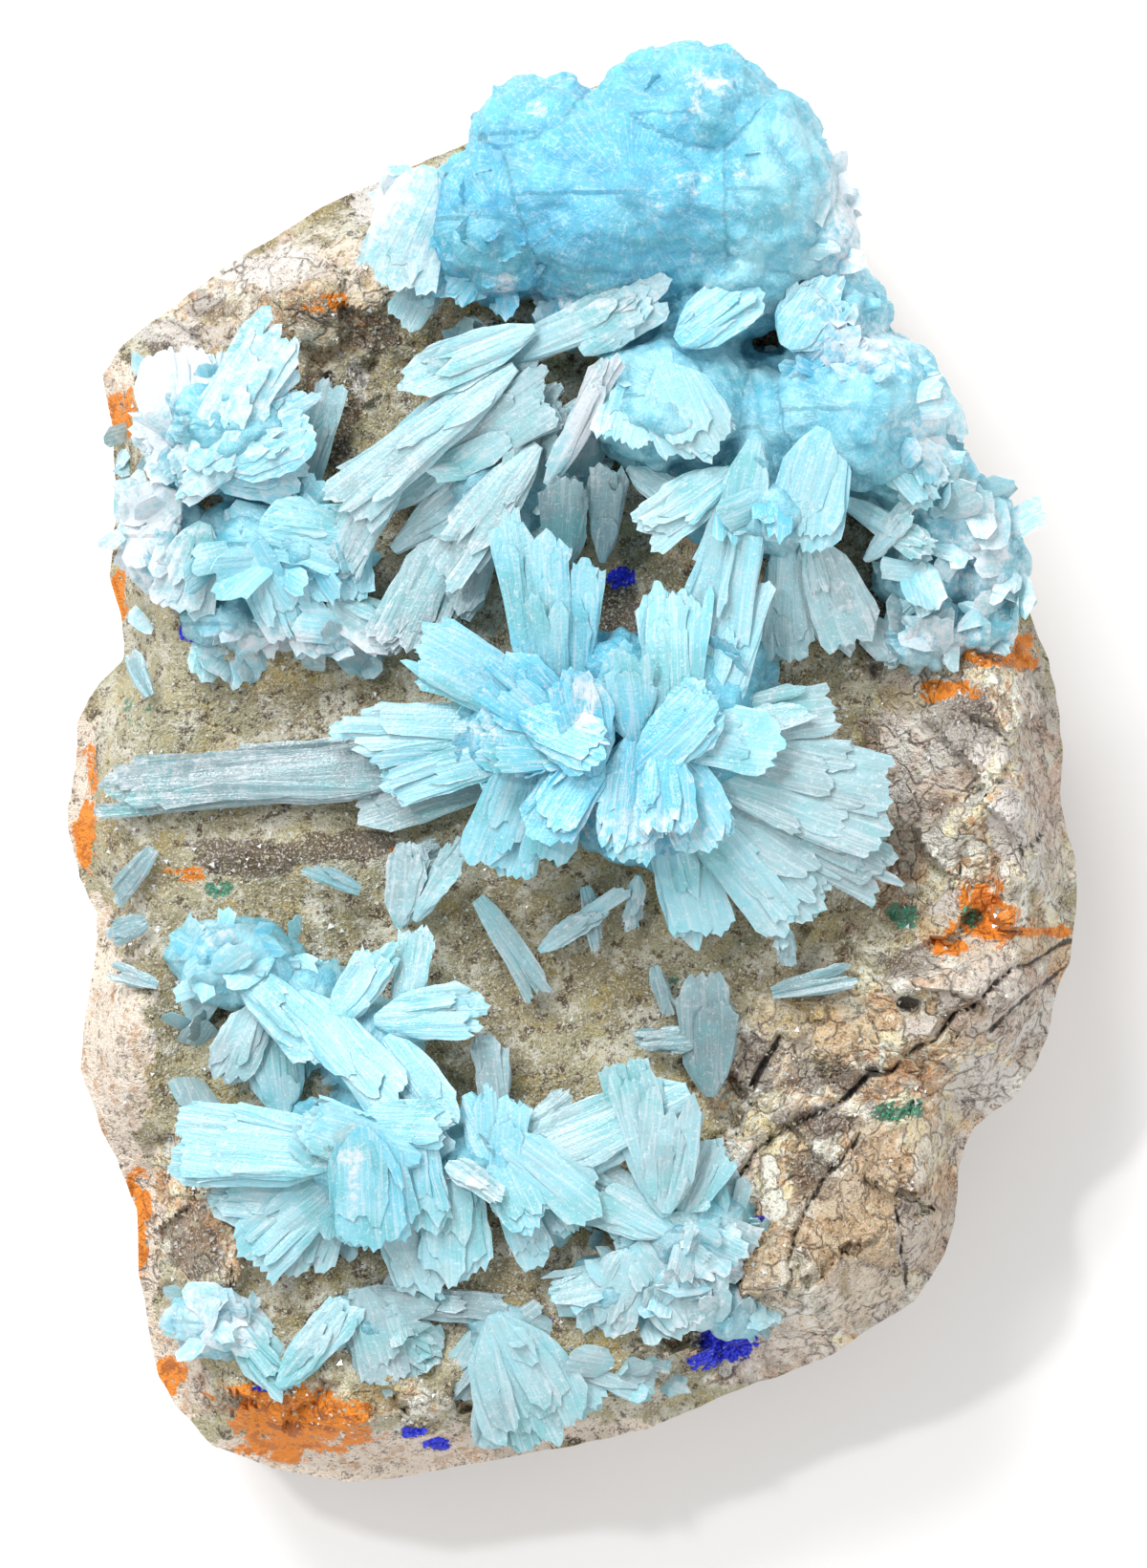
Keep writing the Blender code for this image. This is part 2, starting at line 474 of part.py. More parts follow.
def blade_shape(root, tip, root_width, tip_width, thickness):
    """One flat six-sided blade with a slanting chisel tip."""
    length = (Vector(tip) - Vector(root)).length
    shape = bmesh.new()
    bmesh.ops.create_cone(
        shape, cap_ends=True, segments=BLADE_SIDES, radius1=0.5 * root_width, radius2=0.5 * tip_width,
        depth=length,
    )
    bmesh.ops.scale(shape, vec=(1.0, thickness / max(root_width, tip_width), 1.0), verts=shape.verts)
    for vert in shape.verts:
        if vert.co.z > 0.0:
            vert.co.z += CHISEL_SLANT * vert.co.x
    turn = Matrix.Rotation(math.radians(-90.0), 4, "X")
    bmesh.ops.transform(shape, matrix=turn, verts=shape.verts)
    bmesh.ops.translate(shape, vec=(0.0, 0.5 * length, 0.0), verts=shape.verts)
    return lay_along(shape, root, tip)


def build_rock(parts, cutters, material):
    rock = new_object("matrix_rock", rock_shape(0.0), parts, material)
    cracks = new_collection("cracks", cutters)
    for number, points in enumerate(CRACKS, start=1):
        as_cutter(new_object(f"crack_{number}", crack_shape(points), cracks))
    add_boolean(rock, "DIFFERENCE", collection=cracks)
    return as_cutter(new_object("rock_clearance", rock_shape(CRYSTAL_GAP), cutters))


def build_cluster(name, lumps, sheaves, parts, cutters, clearance, material):
    """Crystals that have grown into one another, as one solid that stops just above the rock."""
    shapes = [lump_shape(*lump) for lump in lumps] + [sheaf_shape(*sheaf) for sheaf in sheaves]
    cluster = new_object(name, shapes[0], parts, material)
    pieces = new_collection(f"{name}_pieces", cutters)
    for number, shape in enumerate(shapes[1:], start=1):
        as_cutter(new_object(f"{name}_piece_{number}", shape, pieces))
    add_boolean(cluster, "UNION", collection=pieces)
    add_boolean(cluster, "DIFFERENCE", other=clearance)
    merge_flat_faces(cluster)
    return cluster


def main():
    clear_scene()
    parts = new_collection(OBJECT_NAME)
    cutters = new_collection("cutters")
    rock_material = new_material("weathered rock", ROCK_COLOUR, 0.85)
    sky = new_material("sky blue aragonite", SKY_BLUE, 0.35)
    pale = new_material("pale blue aragonite", PALE_BLUE, 0.35)
    grey = new_material("grey clear aragonite", GREY_BLUE, 0.25)

    clearance = build_rock(parts, cutters, rock_material)
    clusters = (
        ("upper_crystal_mass", UPPER_LUMPS, UPPER_SHEAVES, sky),
        ("left_sheaf_cluster", LEFT_LUMPS, LEFT_SHEAVES, pale),
        ("centre_rosette", ROSETTE_LUMPS, ROSETTE_SHEAVES, sky),
        ("left_floor_spray", (), FLOOR_SPRAY_SHEAVES, grey),
        ("lower_left_cluster", LOWER_LEFT_LUMPS, LOWER_LEFT_SHEAVES, pale),
        ("curved_fan_cluster", CURVED_FAN_LUMPS, CURVED_FAN_SHEAVES, pale),
        ("bottom_fan_cluster", BOTTOM_LUMPS, BOTTOM_SHEAVES, pale),
        ("upright_striated_blade", (), UPRIGHT_SHEAVES, grey),
    )
    for name, lumps, sheaves, material in clusters:
        build_cluster(name, lumps, sheaves, parts, cutters, clearance, material)
    for name, blade in LONE_BLADES:
        item = new_object(name, blade_shape(*blade), parts, grey)
        add_boolean(item, "DIFFERENCE", other=clearance)


main()
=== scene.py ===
"""Aragonite on rock, seen from above: the looks of a loose hand specimen that lies on its back.

Lengths in the tables are millimetres. X runs across the specimen, Y along it and Z up from the
surface it lies on.
"""

import math
import random

import bmesh
import bpy
import numpy as np
from bpy.props import FloatProperty, FloatVectorProperty, IntProperty, PointerProperty
from mathutils import Matrix, Vector, noise
from mathutils.bvhtree import BVHTree


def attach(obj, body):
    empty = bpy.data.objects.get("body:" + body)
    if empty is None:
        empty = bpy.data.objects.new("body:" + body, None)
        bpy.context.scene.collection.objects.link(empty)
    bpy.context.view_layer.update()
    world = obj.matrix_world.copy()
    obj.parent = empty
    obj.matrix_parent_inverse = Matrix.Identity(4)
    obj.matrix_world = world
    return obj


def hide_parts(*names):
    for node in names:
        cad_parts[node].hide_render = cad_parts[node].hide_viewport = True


bl_info = {
    "name": "Aragonite on rock",
    "version": (1, 0, 0),
    "blender": (4, 5, 0),
    "location": "View3D > Sidebar > Aragonite",
    "description": "Builds the crystals, the rock and the photo stage of an aragonite specimen",
    "category": "Object",
}

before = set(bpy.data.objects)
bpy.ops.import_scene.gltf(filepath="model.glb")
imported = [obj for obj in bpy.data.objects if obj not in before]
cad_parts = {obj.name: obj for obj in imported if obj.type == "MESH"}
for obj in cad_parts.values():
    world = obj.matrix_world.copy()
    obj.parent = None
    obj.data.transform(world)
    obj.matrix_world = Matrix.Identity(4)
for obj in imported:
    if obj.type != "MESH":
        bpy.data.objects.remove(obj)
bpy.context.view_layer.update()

MM = 0.001
UP = Vector((0.0, 0.0, 1.0))
# Height in millimetres from which rays are sent down on to the specimen.
RAY_START = 60.0

# The edge of the rock seen from above, clockwise from the top.
ROCK_RIM = (
    (4.5, 37.0), (8.5, 36.6), (11.2, 35.0), (12.9, 32.4), (13.6, 29.0), (14.1, 25.5), (15.2, 22.6),
    (17.6, 20.0), (20.0, 17.4), (21.4, 14.8), (22.6, 12.2), (23.4, 9.6), (24.3, 7.2), (25.1, 5.5),
    (25.5, 3.0), (25.7, 1.0), (25.7, -1.5), (26.1, -3.5), (26.6, -5.0), (26.6, -7.0), (26.4, -9.0),
    (26.2, -10.5), (25.5, -12.0), (25.0, -14.2), (24.4, -15.8), (23.3, -17.6), (21.2, -19.1),
    (20.6, -20.2), (20.3, -21.5), (20.1, -24.0), (19.6, -25.8), (18.0, -28.3), (16.0, -29.6),
    (13.8, -31.1), (10.5, -32.4), (6.8, -33.9), (3.8, -35.1), (-0.2, -36.0), (-4.5, -36.7),
    (-8.5, -37.5), (-12.0, -37.9), (-16.0, -37.2), (-19.0, -36.0), (-21.0, -33.8), (-21.9, -32.3),
    (-22.3, -30.5), (-22.9, -26.8), (-23.1, -23.5), (-24.0, -20.8), (-25.0, -19.0), (-26.0, -16.0),
    (-25.8, -13.0), (-25.2, -9.8), (-25.2, -7.8), (-26.0, -6.0), (-26.8, -3.0), (-26.3, 0.0),
    (-26.2, 2.2), (-25.0, 4.3), (-23.8, 5.6), (-23.9, 7.6), (-24.5, 10.0), (-24.1, 14.0),
    (-24.4, 18.0), (-24.9, 20.6), (-23.8, 22.3), (-21.0, 24.3), (-17.5, 27.0), (-13.0, 29.5),
    (-8.5, 31.6), (-5.2, 32.9), (-3.4, 34.2), (-0.5, 35.2), (2.4, 36.3),
)
# How far the front face drops at the rim, and the share of the way out where that starts.
RIM_DROP = 4.5
RIM_DROP_START = 0.84
FLOOR_LEVEL = 18.0
# The undercut flank: heights, and how far out the rock reaches there as a share of its edge.
FLANK_HEIGHTS = (0.0, 4.0, 8.0, 11.5, 16.0)
FLANK_REACH = (0.86, 0.93, 0.985, 1.0, 1.0)

# Noise that makes the rim, the flanks and the edges of the patches uneven: height, waves per millimetre, seed.
RIM_NOISE = ((0.14, 1.0, 8.0), (0.1, 3.3, 9.0))
FLANK_NOISE = ((0.55, 0.16, 12.0), (0.3, 0.5, 13.0), (0.12, 1.5, 14.0))
PATCH_NOISE = ((0.6, 0.45, 10.0), (0.45, 1.3, 17.0))
# Relief of the front face: height on smooth rock, what rough rock adds to it, waves per millimetre, seed.
RELIEF_NOISE = ((0.22, 0.3, 0.6, 1.0), (0.12, 0.18, 1.7, 2.0), (0.06, 0.09, 4.4, 3.0))
# Waves of the whole face: height, waves per millimetre, and the level at which the noise is read.
FLOOR_WAVES = ((0.8, 0.19, 3.7), (0.16, 0.7, 9.1))
# Facets of the broken face: usual slope, usual height, and the most that one rises or drops.
FACET_SLOPE = 0.42
FACET_STEP = 0.4
FACET_LIMIT = 1.3

# Swells and hollows of the front face: x, y, radius in x, radius in y, height.
FLOOR_SWELLS = (
    (-14.0, 24.5, 6.5, 4.0, 1.6),
    (3.0, 28.0, 9.0, 7.0, 2.0),
    (-18.0, 2.0, 7.0, 4.5, -1.4),
    (-15.0, -4.6, 6.0, 1.3, 1.0),
    (3.0, -12.0, 10.0, 5.0, -1.8),
    (-19.0, -14.0, 3.5, 6.0, -0.8),
    (20.5, 0.5, 4.2, 5.5, 3.4),
    (21.5, -13.0, 4.5, 4.0, 2.2),
    (15.5, -24.5, 4.8, 5.0, 3.2),
    (23.6, -3.0, 1.6, 4.5, 1.6),
    (17.3, -14.8, 1.8, 1.2, 1.0),
    (-13.0, -34.5, 8.0, 1.8, 1.2),
    (8.0, -31.0, 4.0, 2.0, -1.0),
    (-24.0, -16.0, 1.8, 5.0, 1.4),
)

# Cracks and slots: points, half width, depth.
CRACKS = (
    (((27.0, -9.0), (25.2, -9.7), (24.0, -10.5), (23.0, -10.7), (22.0, -11.5), (20.9, -12.7), (20.0, -13.0),
      (18.9, -14.4), (18.0, -14.8), (16.8, -16.0), (15.5, -16.2), (14.2, -17.6), (13.0, -18.3), (11.8, -18.7),
      (10.5, -19.5), (9.6, -20.2), (9.0, -21.2), (8.4, -22.0), (8.5, -23.0), (8.2, -24.0), (8.4, -25.0),
      (8.8, -27.0)), 0.02, 0.7),
    (((26.4, -10.4), (24.6, -11.6), (23.0, -12.8), (21.6, -14.2)), 0.0, 0.3),
    (((15.3, -19.0), (14.6, -20.2), (14.0, -20.8), (12.9, -22.0), (12.4, -22.9), (11.6, -24.5), (11.2, -26.0),
      (11.3, -28.0)), 0.0, 0.5),
    (((10.9, -14.3), (10.2, -15.4), (9.3, -17.0)), 0.06, 0.8),
    (((17.2, -12.5), (17.8, -12.6)), 0.2, 0.9),
    (((22.6, -6.4), (22.0, -8.8), (26.5, -8.8)), -0.05, 0.2),
    (((19.0, -2.0), (20.5, -4.0), (20.0, -6.5)), -0.05, 0.3),
    (((17.5, -20.0), (16.8, -23.0), (17.6, -27.5)), -0.04, 0.4),
    (((8.0, -29.6), (11.0, -29.4), (13.6, -30.2)), -0.05, 0.3),
)

# Where each kind of stain or rock shows, and where shade is painted: x, y, radius in x, radius in y, strength.
PATCHES = {
    "broken": (
        (20.5, -1.0, 6.0, 8.5, 1.0), (18.0, -20.0, 9.5, 10.5, 1.0), (22.5, -11.5, 5.0, 6.0, 1.0),
        (-20.4, -24.0, 3.4, 4.6, 0.9), (-15.5, 23.4, 7.0, 4.0, 0.9), (11.0, -30.5, 6.0, 2.4, 0.9),
        (-14.0, -33.6, 8.0, 1.6, 0.7), (8.6, -16.0, 2.6, 3.0, 0.8), (10.0, -22.0, 3.0, 7.0, 0.9),
    ),
    "rind": (
        (-24.8, -15.0, 2.6, 6.6, 1.0), (-23.4, -25.0, 1.7, 5.6, 1.0), (-21.6, -33.0, 2.2, 3.6, 1.0),
        (-14.0, -36.6, 7.2, 1.9, 1.0), (-5.5, -36.2, 5.0, 1.2, 0.9), (-26.2, -1.0, 0.9, 5.4, 0.8),
        (2.4, -35.4, 4.0, 0.9, 0.6), (-24.4, 20.0, 1.0, 2.6, 0.7), (12.0, -31.2, 3.6, 1.2, 0.5),
        (-12.4, 26.4, 2.6, 1.6, 0.6),
    ),
    "rust": (
        (22.0, 5.9, 2.5, 0.9, 1.0), (21.6, -8.0, 1.7, 1.6, 0.8), (24.2, -8.8, 2.9, 0.22, 1.0),
        (-14.6, -34.5, 4.2, 1.6, 1.0), (-23.0, -24.0, 0.6, 2.6, 0.8), (-21.3, -32.4, 0.7, 1.2, 0.9),
        (-23.8, 18.6, 0.8, 1.1, 0.8), (-24.1, 9.0, 0.6, 1.4, 0.7), (-25.7, -4.0, 0.5, 2.0, 0.8),
        (-20.3, -5.7, 1.2, 0.5, 0.6), (-8.6, -4.6, 1.0, 0.3, 0.8), (19.6, 3.9, 1.3, 0.5, 0.6),
        (-25.4, -0.4, 0.4, 1.4, 0.6), (-13.2, 24.2, 1.3, 0.6, 0.5), (-16.8, -33.0, 1.4, 0.5, 0.7),
        (20.2, -9.6, 1.6, 0.5, 0.6),
    ),
    # Dark brown rock, and painted shade in holes and in hollows beside the crystals.
    "dark": (
        (-17.0, -4.9, 3.4, 0.9, 1.0), (-12.4, -4.2, 3.2, 0.8, 1.0), (20.4, 2.0, 1.7, 1.5, 0.9),
        (14.0, -16.4, 3.0, 1.0, 0.7), (-19.0, 24.0, 1.5, 0.8, 0.9), (-21.6, 21.8, 0.9, 0.7, 0.9),
        (-13.4, 23.8, 1.6, 0.8, 0.8), (-10.4, 22.4, 1.4, 0.9, 0.8), (12.0, -18.8, 2.4, 0.8, 0.8),
        (17.4, -10.4, 1.8, 0.9, 0.7), (-20.0, -25.4, 1.6, 2.2, 0.7), (12.6, -21.6, 1.4, 1.3, 0.7),
        (-13.0, 18.4, 1.5, 2.4, 1.0), (2.0, 7.8, 1.8, 1.8, 1.0), (9.4, -15.8, 1.2, 1.6, 0.7),
        (15.4, 8.0, 2.0, 1.2, 0.6),
    ),
    "white": (
        (22.6, -2.6, 0.9, 2.6, 1.0), (21.6, -17.0, 1.7, 1.9, 1.0), (17.6, -24.4, 0.7, 1.8, 0.9),
        (21.4, 0.9, 0.7, 1.4, 0.8), (19.6, -7.6, 1.1, 1.1, 0.7), (-15.6, 26.0, 2.4, 1.2, 0.9),
        (-20.6, 22.6, 2.2, 0.9, 1.0), (-17.2, 22.8, 2.0, 0.7, 0.8), (-9.6, 29.6, 1.8, 1.6, 1.0),
        (13.4, -18.0, 1.1, 0.4, 0.7), (18.6, -13.8, 1.0, 0.6, 0.7), (16.0, -30.0, 2.6, 0.6, 0.5),
        (-11.4, 20.6, 0.8, 1.4, 0.7), (20.4, -20.2, 0.8, 1.0, 0.8),
    ),
    "grey": (
        (18.2, 1.6, 3.6, 3.4, 0.9), (24.6, 0.0, 1.5, 6.4, 0.9), (19.3, -25.2, 1.2, 3.6, 1.0),
        (22.6, -12.6, 3.2, 3.0, 0.8), (17.6, -2.8, 2.6, 2.6, 0.7), (24.4, -14.8, 1.4, 2.4, 0.8),
        (18.6, -29.0, 2.6, 1.0, 0.8), (10.0, -30.0, 3.0, 1.6, 0.5),
    ),
    "tan": (
        (15.4, -25.0, 2.7, 5.4, 1.0), (13.2, -14.0, 3.4, 2.0, 0.6), (22.4, -9.8, 3.2, 1.3, 0.7),
        (-10.6, 24.8, 2.6, 1.6, 0.7), (7.6, 11.6, 3.0, 3.0, 0.6), (0.6, 12.0, 2.4, 3.0, 0.7),
        (-6.2, 21.6, 1.8, 2.4, 0.8), (9.6, -26.0, 1.2, 3.0, 0.6),
    ),
    "yellow": (
        (11.0, -13.0, 2.4, 1.1, 0.6), (1.2, -31.0, 1.6, 1.0, 0.8), (-10.5, -33.0, 1.8, 0.8, 0.7),
        (4.4, -5.6, 1.6, 1.0, 0.8), (17.0, 3.4, 2.2, 0.8, 0.6), (-16.6, -31.6, 1.0, 0.8, 0.5),
        (-16.0, 4.4, 3.0, 0.9, 0.4), (19.4, -8.4, 1.6, 0.6, 0.5),
    ),
    "azurite": (
        (-20.2, 7.0, 0.55, 0.5, 1.0), (2.5, 9.8, 0.7, 0.6, 0.8), (8.2, -30.5, 1.5, 0.9, 1.0),
        (6.9, -31.4, 0.9, 0.5, 1.0), (-8.4, -35.1, 0.7, 0.3, 0.9), (-7.2, -35.8, 0.7, 0.35, 0.9),
        (10.0, -24.0, 0.7, 0.4, 0.4), (3.0, -22.0, 0.9, 0.5, 0.5), (-1.3, -29.3, 0.9, 0.5, 0.5),
        (-24.7, -2.4, 0.5, 0.5, 0.4), (-16.0, -32.8, 0.9, 0.15, 0.7), (-14.0, -26.2, 0.8, 0.5, 0.4),
    ),
    "malachite": (
        (17.3, -8.0, 0.9, 0.6, 0.8), (20.8, -8.0, 0.6, 0.6, 0.7), (16.6, -18.2, 0.9, 0.5, 0.9),
        (17.9, -18.0, 0.5, 0.5, 0.8), (-0.8, -4.6, 0.9, 0.6, 0.9), (-18.5, -6.5, 0.7, 0.4, 0.7),
        (-23.5, -10.8, 0.6, 0.6, 0.6), (-23.0, 2.5, 0.8, 1.2, 0.3), (5.0, -11.6, 1.4, 0.6, 0.25),
        (2.6, 25.0, 1.6, 1.0, 1.0),
    ),
}
KINDS = tuple(PATCHES)

# Lumps of fine intergrown crystals: x, y, z, radius in x, in y, in z, tint (0 grey to 1 deep blue).
LUMPS = {
    "upper_crystal_mass": (
        (3.0, 29.4, 22.4, 9.2, 5.9, 8.7, 0.95), (-3.8, 28.4, 22.2, 4.3, 4.9, 7.1, 1.0),
        (9.8, 29.6, 22.6, 4.2, 5.4, 8.3, 0.46), (6.0, 33.6, 22.8, 4.9, 3.9, 7.5, 0.85),
        (-1.6, 32.6, 22.6, 3.9, 3.1, 6.0, 0.85), (12.4, 27.2, 21.5, 2.5, 4.2, 6.4, 0.25),
        (9.3, 25.5, 22.0, 3.6, 2.4, 6.1, 0.4), (5.2, 19.0, 21.5, 4.7, 4.2, 6.8, 0.52),
        (14.6, 18.4, 21.3, 5.0, 4.6, 7.2, 0.6), (9.8, 17.4, 20.4, 3.2, 4.4, 6.2, 0.52),
        (17.6, 15.4, 20.3, 3.0, 3.0, 4.6, 0.5), (9.6, 13.2, 21.6, 4.0, 2.4, 5.4, 0.48),
        (19.8, 12.8, 19.3, 3.2, 2.6, 3.6, 0.4), (21.7, 10.4, 18.3, 2.2, 2.4, 3.2, 0.35),
        (18.0, 9.8, 19.6, 2.2, 2.2, 3.0, 0.4), (21.4, 7.4, 18.6, 2.0, 1.6, 2.6, 0.2),
        (18.2, 6.6, 19.6, 2.3, 1.4, 2.2, 0.2), (-3.6, 15.4, 19.4, 5.4, 4.2, 4.2, 0.3),
        (1.2, 23.2, 21.5, 3.6, 1.9, 4.9, 0.55), (6.8, 23.6, 21.5, 3.8, 2.0, 5.4, 0.6),
        (13.6, 23.4, 21.5, 3.0, 2.6, 5.4, 0.6),
    ),
    "left_sheaf_cluster": (
        (-18.2, 17.6, 20.0, 4.4, 3.7, 5.0, 0.6), (-15.6, 11.4, 18.8, 4.4, 2.7, 3.6, 0.62),
        (-21.4, 12.0, 17.4, 2.3, 3.2, 3.2, 0.25), (-17.8, 7.4, 17.9, 2.7, 1.4, 2.2, 0.3),
        (-12.6, 7.4, 18.3, 2.8, 1.4, 2.2, 0.35),
    ),
    "centre_rosette": (
        (-1.2, 1.8, 19.8, 5.4, 4.7, 6.6, 0.92), (6.6, 3.4, 20.0, 4.3, 6.0, 6.6, 0.78),
        (4.2, -2.2, 19.8, 5.0, 3.4, 5.8, 0.85), (2.6, 4.4, 22.4, 2.8, 2.7, 4.5, 0.85),
    ),
    "lower_left_cluster": (
        (-17.6, -10.4, 17.8, 3.6, 2.4, 3.8, 0.5), (-13.6, -12.2, 17.8, 2.2, 2.0, 3.4, 0.55),
        (-11.6, -20.0, 19.4, 4.2, 3.2, 5.0, 0.6), (-5.2, -20.6, 18.6, 3.2, 2.4, 4.2, 0.5),
        (-10.4, -15.4, 18.2, 2.8, 3.2, 3.6, 0.45),
    ),
    "curved_fan_cluster": (
        (6.0, -24.4, 17.8, 3.7, 3.2, 3.4, 0.3), (2.6, -27.4, 17.6, 3.0, 1.9, 2.6, 0.3),
        (8.2, -28.4, 17.0, 2.0, 1.7, 2.4, 0.25),
    ),
    "bottom_fan_cluster": (
        (-18.8, -29.2, 16.6, 2.5, 2.0, 2.8, 0.35), (-10.6, -29.2, 16.6, 3.4, 1.7, 2.6, 0.25),
        (-3.4, -29.8, 16.8, 2.4, 1.8, 2.6, 0.3),
    ),
}

